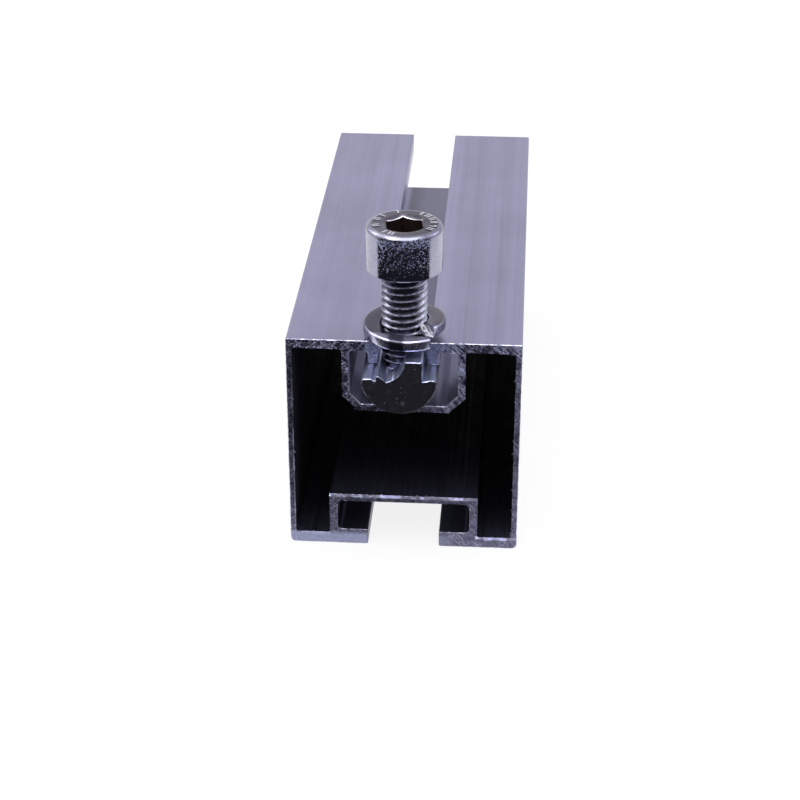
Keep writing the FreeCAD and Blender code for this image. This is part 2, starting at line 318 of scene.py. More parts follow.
class Skin(Graph):
    """Nodes of one finish."""

    def __init__(self, tree: bpy.types.NodeTree, seed: float = 0.0) -> None:
        """Start the nodes.

        Args:
            tree: Shader node tree.
            seed: Seed of the finish.
        """
        super().__init__(tree)
        self.seed = seed
        self.textures: dict[tuple[Pattern, Value], Value] = {}

    @cached_property
    def place(self) -> Value:
        """Object coordinates in millimetres."""
        return self.put("ShaderNodeTexCoord", result="Object").stretch((1 / METRES,) * 3)

    @cached_property
    def axes(self) -> tuple[Value, Value, Value]:
        """Places across, along and up."""
        return self.place.parts()

    @cached_property
    def sideways(self) -> Value:
        """Distance from the rail's upright middle plane."""
        return abs(self.axes[0])

    @cached_property
    def lengthways(self) -> Value:
        """Distance from the middle of the rail's length."""
        return abs(self.axes[1])

    @cached_property
    def radius(self) -> Value:
        """Distance from the screw's axis."""
        return self.root(self.axes[0], self.axes[1] - SCREW_PLACE)

    def texture(self, pattern: Pattern, place: Value | None = None) -> Value:
        """Noise of a pattern, made once for each place.

        Args:
            pattern: The pattern.
            place: Vector that it is read at, or the place on the piece.

        Returns:
            The noise, from 0 to 1.
        """
        place = place or self.place
        if (pattern, place) not in self.textures:
            noise = self.noise(place, pattern.scale, pattern.detail, pattern.rough, self.seed + pattern.step)
            self.textures[pattern, place] = noise
        return self.textures[pattern, place]

    def marks(self, pattern: Pattern, place: Value | None = None) -> Value:
        """Marks of a pattern, where its noise passes its span."""
        return self.texture(pattern, place).rescale(pattern.span, pattern.shares)

    def blend(self, factor: Number, first: Colour | Value, second: Colour | Value) -> Value:
        """Mix two colours.

        Args:
            factor: Share of the second colour.
            first: First colour.
            second: Second colour.

        Returns:
            The colour.
        """
        colours = [colour if isinstance(colour, Value) else (*colour, 1.0) for colour in (first, second)]
        return self.put("ShaderNodeMix", {0: factor, 6: colours[0], 7: colours[1]}, 2, data_type="RGBA")

    def cells(self, scale: float) -> Value:
        """Distance to the nearest of scattered points, in cell widths."""
        return self.put("ShaderNodeTexVoronoi", {"Vector": self.place, "Scale": scale}, "Distance")

    def relief(self, layers: Sequence[tuple[Value, float]]) -> Value:
        """Stack bumps.

        Args:
            layers: Height from 0 to 1, and what it measures at 1, in millimetres.

        Returns:
            The normal.
        """
        inputs = {"Strength": 1.0}
        for height, depth in layers:
            inputs |= {"Height": height, "Distance": depth * METRES}
            inputs["Normal"] = self.put("ShaderNodeBump", inputs)
        return inputs["Normal"]


class GeometryTree(Graph):
    """A geometry node tree with named inputs."""

    def __init__(self, name: str, inputs: dict[str, float | int | Material], takes_mesh: bool = False) -> None:
        """Make the tree and its inputs.

        Args:
            name: Name of the tree.
            inputs: Value of each input by name.
            takes_mesh: The tree changes the object's own mesh.
        """
        super().__init__(bpy.data.node_groups.new(name, "GeometryNodeTree"))
        self.values = dict(inputs)
        kinds = {int: "NodeSocketInt", float: "NodeSocketFloat", Material: "NodeSocketMaterial"}
        sockets = [(label, "INPUT", kinds[type(value)]) for label, value in inputs.items()]
        if takes_mesh:
            sockets.insert(0, ("Geometry", "INPUT", "NodeSocketGeometry"))
        for label, way, kind in (*sockets, ("Geometry", "OUTPUT", "NodeSocketGeometry")):
            self.tree.interface.new_socket(label, in_out=way, socket_type=kind)
        self.group = self.add("NodeGroupInput")

    def given(self, label: str) -> Value:
        """Value of a named input."""
        return Value(self, self.group.outputs[label])

    def gathered(self, *shapes: Value) -> Value:
        """Join shapes.

        Args:
            shapes: The shapes.

        Returns:
            All of them in one.
        """
        node = self.add("GeometryNodeJoinGeometry")
        for shape in shapes:
            self.tree.links.new(shape.socket, node.inputs[0])
        return Value(self, node.outputs[0])

    def moved(self, shape: Value, **inputs: Value) -> Value:
        """Set or shift the places of a shape's points, of a selection or of all."""
        return self.put("GeometryNodeSetPosition", {"Geometry": shape, **inputs})

    def attribute(self, name: str) -> Value:
        """A number that is stored on the points."""
        return self.put("GeometryNodeInputNamedAttribute", {"Name": name}, data_type="FLOAT")

    def finish(self, shape: Value, material: str, selection: Value | None = None) -> None:
        """End the tree.

        Args:
            shape: Geometry to give out.
            material: Name of the input that holds its material.
            selection: Faces that take the material, or all.
        """
        real = self.put("GeometryNodeRealizeInstances", {0: shape})
        inputs = {"Geometry": real, "Material": self.given(material)}
        if selection is not None:
            inputs["Selection"] = selection
        self.add("NodeGroupOutput", {0: self.put("GeometryNodeSetMaterial", inputs)})

    def run(self, mesh: Mesh | None = None) -> Mesh:
        """Evaluate the tree.

        Args:
            mesh: Mesh to change, where the tree takes one.

        Returns:
            A plain mesh.
        """
        carrier = set_out(self.tree.name, mesh or bpy.data.meshes.new(self.tree.name))
        modifier = carrier.modifiers.new(self.tree.name, "NODES")
        modifier.node_group = self.tree
        for item in self.tree.interface.items_tree:
            if item.in_out == "INPUT" and item.name in self.values:
                modifier[item.identifier] = self.values[item.name]
        return used_up(carrier)


# Meshes ---------------------------------------------------


def set_out(name: str, data: bpy.types.ID) -> Piece:
    """Put a new object in the scene.

    Args:
        name: Name of the object.
        data: Its mesh, light or camera.

    Returns:
        The object.
    """
    item = bpy.data.objects.new(name, data)
    bpy.context.scene.collection.objects.link(item)
    return item


def used_up(item: Piece) -> Mesh:
    """Take an object's mesh with its modifiers, and remove the object.

    Args:
        item: The object.

    Returns:
        A plain mesh.
    """
    depsgraph = bpy.context.evaluated_depsgraph_get()
    mesh = bpy.data.meshes.new_from_object(item.evaluated_get(depsgraph))
    bpy.data.objects.remove(item)
    return mesh


@contextmanager
def opened(mesh: Mesh) -> Iterator[bmesh.types.BMesh]:
    """Open a mesh for edits, and write them back.

    Args:
        mesh: The mesh.

    Yields:
        The open mesh.
    """
    work = bmesh.new()
    work.from_mesh(mesh)
    yield work
    work.to_mesh(mesh)
    work.free()


def face_outwards(work: bmesh.types.BMesh) -> None:
    """Turn each closed part of a mesh so that its faces look outwards.

    Args:
        work: Mesh whose parts already have faces that agree with their neighbours.
    """
    left = set(work.faces)
    while left:
        start = left.pop()
        part, waiting = [start], [start]
        while waiting:
            for side in waiting.pop().edges:
                fresh = [face for face in side.link_faces if face in left]
                left.difference_update(fresh)
                part.extend(fresh)
                waiting.extend(fresh)
        if sum(face.calc_center_median().dot(face.normal) * face.calc_area() for face in part) < 0.0:
            bmesh.ops.reverse_faces(work, faces=part)


@dataclass
class Shell:
    """Corners and faces of a surface, in millimetres."""

    points: list[Sequence[float]] = field(default_factory=list)
    faces: list[Sequence[int]] = field(default_factory=list)
    kinds: list[int] = field(default_factory=list)

    def extend(self, points: Sequence[Sequence[float]], faces: Sequence[Sequence[int]], kind: int) -> None:
        """Add faces of one finish.

        Args:
            points: Corners.
            faces: Faces, as numbers of these corners.
            kind: Number of the finish.
        """
        start = len(self.points)
        self.points.extend(points)
        self.faces.extend([start + int(corner) for corner in face] for face in faces)
        self.kinds.extend([kind] * len(faces))

    def take(self, mesh: Mesh, kind: int) -> None:
        """Add a mesh that is in millimetres, as one finish."""
        points = [tuple(vertex.co) for vertex in mesh.vertices]
        self.extend(points, [tuple(polygon.vertices) for polygon in mesh.polygons], kind)

    def bands(self, rings: Sequence[np.ndarray], kinds: Sequence[int]) -> None:
        """Join rings of equally many points by four-cornered faces.

        Args:
            rings: Rings, one after the other.
            kinds: Finish of each band between two rings.
        """
        count = len(rings[0])
        here = np.arange(count)
        after = (here + 1) % count
        for lower, upper, kind in zip(rings, rings[1:], kinds):
            faces = np.stack([here, after, after + count, here + count], axis=1)
            self.extend([*lower.tolist(), *upper.tolist()], faces, kind)

    def close(self, ring: np.ndarray, height: float, kind: int) -> None:
        """Close a ring by triangles to a point on the upright axis.

        Args:
            ring: Points of the ring.
            height: Height of the point.
            kind: Number of the finish.
        """
        count = len(ring)
        faces = [(step, (step + 1) % count, count) for step in range(count)]
        self.extend([*ring.tolist(), (0.0, 0.0, height)], faces, kind)

    def extrude(
        self, loop: np.ndarray, inset: np.ndarray, ends: Span, edge: float, kinds: Sequence[int], lift: float = 0.0
    ) -> None:
        """Draw an outline out along the rail, with broken edges at both ends.

        Args:
            loop: Outline across and up.
            inset: Outline at the very ends.
            ends: Places of the ends along the rail.
            edge: Length of a broken edge.
            kinds: Finish of the first edge, of the drawn faces and of the last edge.
            lift: Height of the outline's zero.
        """
        low, high = ends
        stations = ((low, inset), (low + edge, loop), (high - edge, loop), (high, inset))
        self.bands([upright(outline, along, lift) for along, outline in stations], kinds)

    def cap(
        self, loops: Sequence[np.ndarray], spacing: float, seed: int, ends: Span, kind: int, lift: float = 0.0
    ) -> None:
        """Fill both ends of a drawn form with small even triangles.

        Args:
            loops: Outer outline at the ends, then any hollows.
            spacing: Distance between inner points.
            seed: Seed of their scatter.
            ends: Places of the ends along the rail.
            kind: Finish of the ends.
            lift: Height of the outlines' zero.
        """
        points, triangles = filled_section(loops, spacing, seed)
        for along in ends:
            self.extend(upright(points, along, lift).tolist(), triangles, kind)

    def mesh(self, name: str) -> Mesh:
        """Merge shared corners and turn the faces outwards.

        Args:
            name: Name of the mesh.

        Returns:
            A mesh in millimetres.
        """
        mesh = bpy.data.meshes.new(name)
        mesh.from_pydata(self.points, [], self.faces)
        mesh.polygons.foreach_set("material_index", self.kinds)
        with opened(mesh) as work:
            bmesh.ops.remove_doubles(work, verts=work.verts, dist=MERGE_DISTANCE)
            bmesh.ops.dissolve_degenerate(work, edges=work.edges, dist=MERGE_DISTANCE)
            bmesh.ops.recalc_face_normals(work, faces=work.faces)
            face_outwards(work)
        return mesh


def coat(mesh: Mesh, finishes: Sequence[Material]) -> None:
    """Give a mesh its materials, and keep the finish of each face.

    Args:
        mesh: The mesh.
        finishes: Materials by the number of the finish.
    """
    kinds = np.zeros(len(mesh.polygons), np.int32)
    mesh.polygons.foreach_get("material_index", kinds)
    mesh.materials.clear()
    for finish in finishes:
        mesh.materials.append(finish)
    mesh.polygons.foreach_set("material_index", kinds)


def make_piece(
    mesh: Mesh, node: str, body: Body, slot: Slot, finishes: Sequence[Material], sharp_angle: float
) -> Piece:
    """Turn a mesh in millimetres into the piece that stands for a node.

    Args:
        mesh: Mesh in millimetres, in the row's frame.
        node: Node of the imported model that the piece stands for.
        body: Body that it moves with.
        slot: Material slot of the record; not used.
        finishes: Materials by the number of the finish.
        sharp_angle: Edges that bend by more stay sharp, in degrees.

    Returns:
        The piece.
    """
    mesh.transform(Matrix.Scale(METRES, 4))
    coat(mesh, finishes)
    mesh.polygons.foreach_set("use_smooth", [True] * len(mesh.polygons))
    mesh.set_sharp_from_angle(angle=math.radians(sharp_angle))
    piece = set_out(f"{node}_finished", mesh)
    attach(piece, body.value)
    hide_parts(node)
    LOG.info("%s: %d faces", piece.name, len(mesh.polygons))
    return piece


def upright(points: np.ndarray, along: float, lift: float) -> np.ndarray:
    """Points across and up, stood at a place along the rail."""
    return np.stack([points[:, 0], np.full(len(points), along), points[:, 1] + lift], axis=1)


def rounded_loop(corners: Sequence[Sequence[float]], step: float, arc_steps: int = 5) -> np.ndarray:
    """Sample a closed outline with rounded corners.

    Args:
        corners: Across, up and rounding radius of each corner.
        step: Longest run between two points.
        arc_steps: Runs in each rounding.

    Returns:
        Points of the outline, without the first repeated.
    """
    points: list[np.ndarray] = []
    count = len(corners)
    for index, (across, up, radius) in enumerate(corners):
        here = np.array((across, up))
        before = np.array(corners[index - 1][:2]) - here
        after = np.array(corners[(index + 1) % count][:2]) - here
        before /= np.linalg.norm(before)
        after /= np.linalg.norm(after)
        if radius == 0:
            points.append(here)
            continue
        half = math.acos(float(np.clip(before @ after, -1, 1))) / 2
        middle = (before + after) / np.linalg.norm(before + after)
        centre = here + middle * (radius / math.sin(half))
        first = here + before * (radius / math.tan(half)) - centre
        last = here + after * (radius / math.tan(half)) - centre
        for share in np.linspace(0, 1, arc_steps + 1):
            spoke = first * (1 - share) + last * share
            points.append(centre + spoke * (radius / np.linalg.norm(spoke)))
    result: list[np.ndarray] = []
    for start, end in zip(points, points[1:] + points[:1]):
        pieces = max(1, math.ceil(float(np.linalg.norm(end - start)) / step))
        result.extend(start + (end - start) * (piece / pieces) for piece in range(pieces))
    return np.array(result)


def shifted_loop(loop: np.ndarray, distance: float | np.ndarray) -> np.ndarray:
    """Move an outline to its inner side.

    Args:
        loop: Points of the outline.
        distance: How far, for all points or for each; a negative one moves it out.

    Returns:
        The moved outline.
    """
    ahead = np.roll(loop, -1, axis=0)
    behind = np.roll(loop, 1, axis=0)
    turning = np.sum(loop[:, 0] * ahead[:, 1] - ahead[:, 0] * loop[:, 1])
    way = ahead - behind
    left = np.stack([-way[:, 1], way[:, 0]], axis=1)
    left /= np.linalg.norm(left, axis=1)[:, None]
    return loop + left * (distance * math.copysign(1, turning))


def within(points: np.ndarray, loops: Sequence[np.ndarray]) -> np.ndarray:
    """Tell which points lie in the metal between outlines.

    Args:
        points: Points across and up.
        loops: Outer outline, then any hollows.

    Returns:
        Yes or no for each point.
    """
    found = np.zeros(len(points), bool)
    for loop in loops:
        for start, end in zip(loop, np.roll(loop, -1, axis=0)):
            if start[1] == end[1]:
                continue
            crosses = (start[1] > points[:, 1]) != (end[1] > points[:, 1])
            slope = (end[0] - start[0]) / (end[1] - start[1])
            found ^= crosses & (points[:, 0] < start[0] + (points[:, 1] - start[1]) * slope)
    return found


def filled_section(loops: Sequence[np.ndarray], spacing: float, seed: int) -> tuple[np.ndarray, list[list[int]]]:
    """Fill the metal between outlines with small even triangles.

    Args:
        loops: Outer outline, then any hollows.
        spacing: Distance between inner points.
        seed: Seed of their scatter.

    Returns:
        Points and triangles.
    """
    edges: list[tuple[int, int]] = []
    start = 0
    for loop in loops:
        edges.extend((start + i, start + (i + 1) % len(loop)) for i in range(len(loop)))
        start += len(loop)
    rim = np.concatenate(loops)
    random = np.random.default_rng(seed)
    across = np.arange(rim[:, 0].min(), rim[:, 0].max(), spacing)
    up = np.arange(rim[:, 1].min(), rim[:, 1].max(), spacing * math.sqrt(3) / 2)
    grid = np.stack(np.meshgrid(across, up), axis=-1)
    grid[1::2, :, 0] += spacing / 2
    inner = grid.reshape(-1, 2) + random.uniform(-spacing, spacing, (grid.size // 2, 2)) / 5
    inner = inner[within(inner, loops)]
    clear = np.array([np.min(np.sum((rim - point) ** 2, axis=1)) for point in inner])
    inner = inner[clear > (spacing / 2) ** 2]
    places = [Vector(point) for point in np.concatenate([rim, inner])]
    found = geometry.delaunay_2d_cdt(places, edges, [], 0, MERGE_DISTANCE / 10)
    points = np.array([tuple(place) for place in found[0]])
    triangles = np.array([face for face in found[2]])
    middles = points[triangles].mean(axis=1)
    return points, triangles[within(middles, loops)].tolist()


# Finishes -------------------------------------------------


@dataclass
class Look:
    """What a finish links to its shader."""

    colour: Value
    roughness: Value
    layers: list[tuple[Value, float]]

    def tint(self, share: Value, shade: Colour) -> None:
        """Cover a share of the surface with another colour."""
        self.colour = self.colour.graph.blend(share, self.colour, shade)


@dataclass(frozen=True)
class Finish:
    """A metal surface."""

    name: str
    colour: Colour
    metallic: float = 1.0
    specular: float = 0.5
    edge_tint: float = 1.0
    seed: float = 0.0

    def dress(self, skin: Skin) -> Look:
        """Make the finish's own nodes."""
        raise NotImplementedError

    def material(self) -> Material:
        """Make the material.

        Returns:
            The material.
        """
        material = bpy.data.materials.new(self.name)
        material.use_nodes = True
        material.diffuse_color = (*self.colour, 1.0)
        material.metallic = self.metallic
        material.node_tree.nodes.clear()
        skin = Skin(material.node_tree, self.seed)
        look = self.dress(skin)
        inputs = {
            "Base Color": look.colour,
            "Roughness": look.roughness,
            "Normal": skin.relief(look.layers),
            "Metallic": self.metallic,
            "Specular IOR Level": self.specular,
            "Specular Tint": (self.edge_tint, self.edge_tint, self.edge_tint, 1.0),
        }
        skin.add("ShaderNodeOutputMaterial", {"Surface": skin.put("ShaderNodeBsdfPrincipled", inputs)})
        return material


@dataclass(frozen=True)
class DrawnAluminium(Finish):
    """Extruded aluminium with die lines along Y."""

    light: Colour = (0.36, 0.35, 0.49)
    roughness: Span = (0.30, 0.44)
    seed: float = 1.0
    stretch: Triple = (1.0, 0.008, 1.0)
    line_depth: float = 0.004
    bands: Pattern = Pattern(0.22, 3.0, 0.6)
    lines: Pattern = Pattern(1.6, 5.0, 0.7, 1)
    hairs: Pattern = Pattern(7.0, 3.0, 0.6, 2)
    cloud: Pattern = Pattern(0.07, 3.0, 0.55, 3)
    grain: Pattern = Pattern(5.0, 3.0, 0.6, 4)
    tone_shares: tuple[float, ...] = (0.45, 0.35, 0.3, 0.15)
    tone_span: Span = (0.45, 0.8)
    shine_span: Span = (0.3, 0.7)

    def dress(self, skin: Skin) -> Look:
        """Streak colour, roughness and relief lengthwise.

        Args:
            skin: Nodes of the finish.

        Returns:
            The finish's look.
        """
        drawn = skin.place.stretch(self.stretch)
        bands, lines, hairs = (skin.texture(pattern, drawn) for pattern in (self.bands, self.lines, self.hairs))
        cloud, grain = skin.texture(self.cloud), skin.texture(self.grain)
        parts = zip((bands, lines, cloud, hairs), self.tone_shares)
        tone = reduce(Value.__add__, [texture * share for texture, share in parts])
        colour = skin.blend(tone.rescale(self.tone_span), self.colour, self.light)
        shine = (lines * 0.5 + grain * 0.5).rescale(self.shine_span, self.roughness)
        layers = [(lines, self.line_depth * 2), (hairs, self.line_depth), (grain, self.line_depth / 3)]
        return Look(colour, shine, layers)


@dataclass(frozen=True)
class RailAluminium(DrawnAluminium):
    """The rail's drawn faces, with painted light and shade in its channels and painted glints along its broken
    sawn edge.
    """

    rags: Pattern = Pattern(1.1, 4.0, 0.65, 5, (0.42, 0.6))
    # Colours of painted shade and light in the channels, and of painted glints on the broken edge.
    recess_shade: Colour = (0.015, 0.015, 0.03)
    flank_shade: Colour = (0.05, 0.05, 0.08)
    wall_light: Colour = (0.8, 0.79, 1.0)
    arris_highlight: Colour = (0.8, 0.82, 0.98)
    arris_start: float = 49.86
    foot_half: float = 11.7
    foot_top: float = 8.7
    foot_share: float = 0.66
    foot_arris: Fade = ((-4.0, 4.0), (0.8, 0.55))
    channel_half: float = 9.2
    wall_half: float = 9.3
    wall_shares: Span = (0.25, 1.0)
    channel_floor: float = 28.15
    channel_top: float = 38.1
    floor_right: float = 5.5
    floor_shade: Fade = ((-0.5, -4.2), (0.5, 0.68))
    lip_shade: Fade = ((-5.2, -4.4), (0.3, 1.0))
    flank_start: float = 6.2
    flank_foot: float = 27.9
    flank_blur: float = 0.22
    depth_span: Span = (49.5, 44.0)
    depth_share: float = 0.5
    bevel_span: Span = (28.05, 28.25)
    bevel_depth: Fade = ((42.0, 48.0), (0.3, 0.72))

    def foot(self, skin: Skin) -> Value:
        """One in the foot channel, else zero."""
        return (skin.sideways < self.foot_half) * (skin.axes[2] < self.foot_top)

    def recess(self, skin: Skin) -> Value:
        """Paint shade into the foot channel and onto the upper channel's floor, more towards its left.

        Args:
            skin: Nodes of the finish.

        Returns:
            Share of the painted shade.
        """
        # Painted shade: the whole foot channel, and the upper channel's floor more towards its left.
        across, _, up = skin.axes
        foot = self.foot(skin)
        floor = (skin.sideways < self.channel_half) * (across < self.floor_right) * (up < self.channel_floor)
        shade = across.rescale(*self.floor_shade, smooth=True) * across.rescale(*self.lip_shade)
        return foot * self.foot_share + floor * (1.0 - foot) * shade

    def walls(self, skin: Skin) -> Value:
        """Paint light on the upper channel's walls, more on the right wall.

        Args:
            skin: Nodes of the finish.

        Returns:
            Share of the painted light.
        """
        across, _, up = skin.axes
        share = across.rescale((-self.channel_half, self.channel_half), self.wall_shares)
        return share * (skin.sideways < self.wall_half) * (up > self.channel_floor) * (up < self.channel_top)

    def flanks(self, skin: Skin) -> Value:
        """Find the two spaces beside the upper channel's lips.

        Args:
            skin: Nodes of the finish.

        Returns:
            One in them, else zero.
        """
        up = skin.axes[2]
        beside = (skin.sideways < self.wall_half) * (skin.sideways > self.flank_start)
        return beside * (up > self.flank_foot) * (up < self.channel_top)

    def dress(self, skin: Skin) -> Look:
        """Paint shade into the channels and glints along the broken edge.

        Args:
            skin: Nodes of the finish.

        Returns:
            The finish's look.
        """
        look = super().dress(skin)
        across, _, up = skin.axes
        flanks = self.flanks(skin)
        # Painted shade beside the lips: deeper inside the rail on the left, and above the channel floor on the
        # right.
        depth = skin.lengthways.rescale(self.depth_span) * (across < 0.0) * self.depth_share
        bevel = up.rescale(self.bevel_span) * (across > 0.0) * skin.lengthways.rescale(*self.bevel_depth)
        # Painted glints on the broken edge near both ends, fainter in the foot channel.
        edge = (skin.lengthways > self.arris_start) * (1.0 - self.foot(skin) * across.rescale(*self.foot_arris))
        look.tint(self.recess(skin), self.recess_shade)
        look.tint(self.walls(skin), self.wall_light)
        look.tint(flanks * (depth + bevel), self.flank_shade)
        look.tint(edge * skin.marks(self.rags), self.arris_highlight)
        look.roughness += flanks * self.flank_blur
        return look


@dataclass(frozen=True)
class Scratches:
    """Long thin scratches of a saw.

    Attributes:
        angle: Direction on the cut face, in degrees.
        widths: Scratches in a millimetre across them, and along them.
        bounds: Noise at which a scratch starts and is full.
        shares: Their strength at the rail's left and right.
    """

    angle: float
    widths: Span
    bounds: Span
    shares: Span

    def cut(self, skin: Skin, rightness: Value) -> Value:
        """Cut the scratches.

        Args:
            skin: Nodes of the finish.
            rightness: Zero at the rail's left, one at its right.

        Returns:
            One on a scratch, else zero.
        """
        across, along = self.widths
        tilted = skin.place.turned((0.0, 1.0, 0.0), math.radians(self.angle)).stretch((across, along, along))
        marks = skin.marks(Pattern(1.0, 1.0, 0.5, self.angle, self.bounds), tilted)
        return marks * rightness.rescale((0.0, 1.0), self.shares)


@dataclass(frozen=True)
class SawnAluminium(Finish):
    """Torn and scratched face of a saw cut, its scratches painted bright as highlights, with painted highlights on
    the hollow's lower edges and a painted floor glow low on its left.
    """

    torn: Colour = (0.285, 0.285, 0.48)
    light: Colour = (0.76, 0.78, 1.0)
    smear_and_glow_light: Colour = (0.42, 0.44, 0.64)
    dent_highlight: Colour = (0.74, 0.75, 1.0)
    roughness: Span = (0.28, 0.88)
    seed: float = 11.0
    parallel: Scratches = Scratches(44.0, (5.4, 0.3), (0.55, 0.62), (0.3, 1.0))
    crossing: Scratches = Scratches(-48.0, (3.8, 0.6), (0.59, 0.66), (0.9, 0.5))
    tears: Pattern = Pattern(1.5, 5.0, 0.7, 1)
    patches: Pattern = Pattern(0.5, 2.0, 0.5, 3, (0.38, 0.56), (0.15, 1.0))
    curls: Pattern = Pattern(1.8, 1.0, 0.5, 6)
    curl_span: Span = (0.03, 0.014)
    chips: Pattern = Pattern(3.4, 1.0, 0.5, 7, (0.67, 0.72))
    dashes: Pattern = Pattern(1.0, 2.0, 0.6, 8, (0.46, 0.55), (0.3, 1.0))
    dash_stretch: Triple = (0.45, 0.0, 0.45)
    dash_reach: Triple = (0.4, 0.5, 0.25)
    patch_share: Span = (0.45, 1.0)
    rags: Pattern = Pattern(2.2, 2.0, 0.6, 9, (0.36, 0.46), (0.4, 1.0))
    right_span: Span = (-4.0, 5.0)
    tone_span: Span = (0.42, 0.62)
    mark_depth: float = 0.042
    tear_depth: float = 0.112
    dent_slope: float = 0.9
    dent_slopes: tuple[Span, Span] = ((1.5, 2.5), (9.3, 10.3))
    foot_calm: Fade = ((8.0, 37.0), (0.42, 1.0))
    wall_calm: Fade = ((-19.1, -18.7), (0.65, 1.0))
    crown_calm: Span = (1.0, 0.4)
    crown_under: Span = (9.5, 9.35)
    crown_over: Span = (8.6, 8.8)
    crown_half: float = 12.0
    wall_place: float = -19.0
    wall_fade: Fade = ((34.0, 10.0), (0.3, 0.8))
    plate_top: float = 1.95
    plate_start: float = 13.0
    crown_top: float = 9.8
    crown_end: float = 13.4
    lip_inside: Span = (3.9, 4.2)
    lip_outside: Span = (6.8, 6.3)
    lip_foot: Span = (35.1, 35.4)
    lip_share: float = 0.55
    plate_smear_and_glow: Span = (2.5, 1.7)
    plate_glow_fade: Fade = ((4.0, 9.0), (0.78, 0.04))
    dent_height: float = 0.42
    dent_reach: Span = (1.3, 0.1)
    right_tone: float = 0.1
    calm_tone: Fade = ((0.4, 1.0), (0.25, 1.0))
    rub_shares: Span = (0.5, 0.6)
    dents: tuple[Triple, ...] = (
        (-13.0, 9.75, 0.3), (-2.6, 9.75, 1.8), (3.2, 9.7, 0.3), (9.6, 9.75, 1.0),
        (13.1, 1.95, 0.4), (15.2, 1.8, 1.0), (17.6, 1.8, 0.7), (-18.7, 2.4, 0.2),
    )

    def marks(self, skin: Skin) -> Value:
        """Lay scratches, curls and chips over each other.

        Args:
            skin: Nodes of the finish.

        Returns:
            One on a mark, else zero.
        """
        rightness = skin.axes[0].rescale(self.right_span)
        patches = skin.marks(self.patches)
        scratches = self.parallel.cut(skin, rightness) | self.crossing.cut(skin, rightness)
        scratches *= patches.rescale(self.patches.shares, self.patch_share)
        curls = abs(skin.texture(self.curls) - 0.5).rescale(self.curl_span) * patches
        return scratches | (curls | skin.marks(self.chips))

    def calm(self, skin: Skin) -> Value:
        """Calm the marks at the foot, on the left wall and on the crown's lower half.

        Args:
            skin: Nodes of the finish.

        Returns:
            Strength of the marks.
        """
        across, _, up = skin.axes
        crown = up.rescale(self.crown_under) * up.rescale(self.crown_over) * (skin.sideways < self.crown_half)
        crown = crown.rescale((0.0, 1.0), self.crown_calm)
        return up.rescale(*self.foot_calm) * across.rescale(*self.wall_calm) * crown

    def ledges(self, skin: Skin) -> Value:
        """Paint highlights as bright dashes along the lower edges of the hollow.

        Args:
            skin: Nodes of the finish.

        Returns:
            One on a bright dash, else zero.
        """
        across, _, up = skin.axes
        on_plate, on_crown, on_wall = self.dash_reach
        plates = up.near(self.plate_top, on_plate) * (skin.sideways > self.plate_start)
        crown = up.near(self.crown_top, on_crown) * (skin.sideways < self.crown_end)
        wall = across.near(self.wall_place, on_wall) * up.rescale(*self.wall_fade)
        return (wall | (plates | crown)) * skin.marks(self.dashes, skin.place.stretch(self.dash_stretch))

    def nicks(self, skin: Skin) -> Value:
        """Place the dents of the lower edges, which are bumped and painted bright as highlights.

        Args:
            skin: Nodes of the finish.

        Returns:
            One on a dent, else zero.
        """
        across, _, up = skin.axes
        factor, more = self.dent_reach
        places = [
            up.near(height, self.dent_height) * across.near(middle, half * factor + more)
            for middle, height, half in self.dents
        ]
        return reduce(Value.__or__, places) * skin.marks(self.rags)

    def smear_and_glow(self, skin: Skin) -> Value:
        """Smooth the metal on the lips, and smooth the bottom plate under a painted glow of the floor that fades
        to the right.

        Args:
            skin: Nodes of the finish.

        Returns:
            Share of smooth metal.
        """
        across, _, up = skin.axes
        lip = skin.sideways.rescale(self.lip_inside) * skin.sideways.rescale(self.lip_outside)
        lip *= up.rescale(self.lip_foot)
        # The lips are smoother metal; the bottom plate also takes a painted floor glow, fading to the right.
        return lip * self.lip_share | up.rescale(self.plate_smear_and_glow) * across.rescale(*self.plate_glow_fade)

    def dress(self, skin: Skin) -> Look:
        """Scratch, pit and speckle the face.

        Args:
            skin: Nodes of the finish.

        Returns:
            The finish's look.
        """
        across, _, up = skin.axes
        marks, calm, nicks, smear_and_glow = self.marks(skin), self.calm(skin), self.nicks(skin), self.smear_and_glow(skin)
        # Scratches, curls and chips are real marks, painted bright as highlights; the dashes on the lower edges
        # are painted highlights.
        bright = marks * calm | self.ledges(skin)
        tears = skin.texture(self.tears)
        tone = (tears + across.rescale(self.right_span) * self.right_tone).rescale(self.tone_span)
        tone *= calm.rescale(*self.calm_tone)
        rubbed = bright | smear_and_glow * self.rub_shares[0] | nicks * self.rub_shares[1]
        plate, crown = (up.rescale(span, (1.0, 0.0)) for span in self.dent_slopes)
        slope = nicks * (plate + crown)
        look = Look(
            skin.blend(bright, skin.blend(tone, self.colour, self.torn), self.light),
            rubbed.rescale((0.0, 1.0), self.roughness),
            [(marks, self.mark_depth), (tears, self.tear_depth), (slope, self.dent_slope)],
        )
        # Painted floor glow on the bottom plate, and smoother metal on the lips.
        look.tint(smear_and_glow, self.smear_and_glow_light)
        # The dents are bumped and painted bright as highlights.
        look.tint(nicks, self.dent_highlight)
        return look


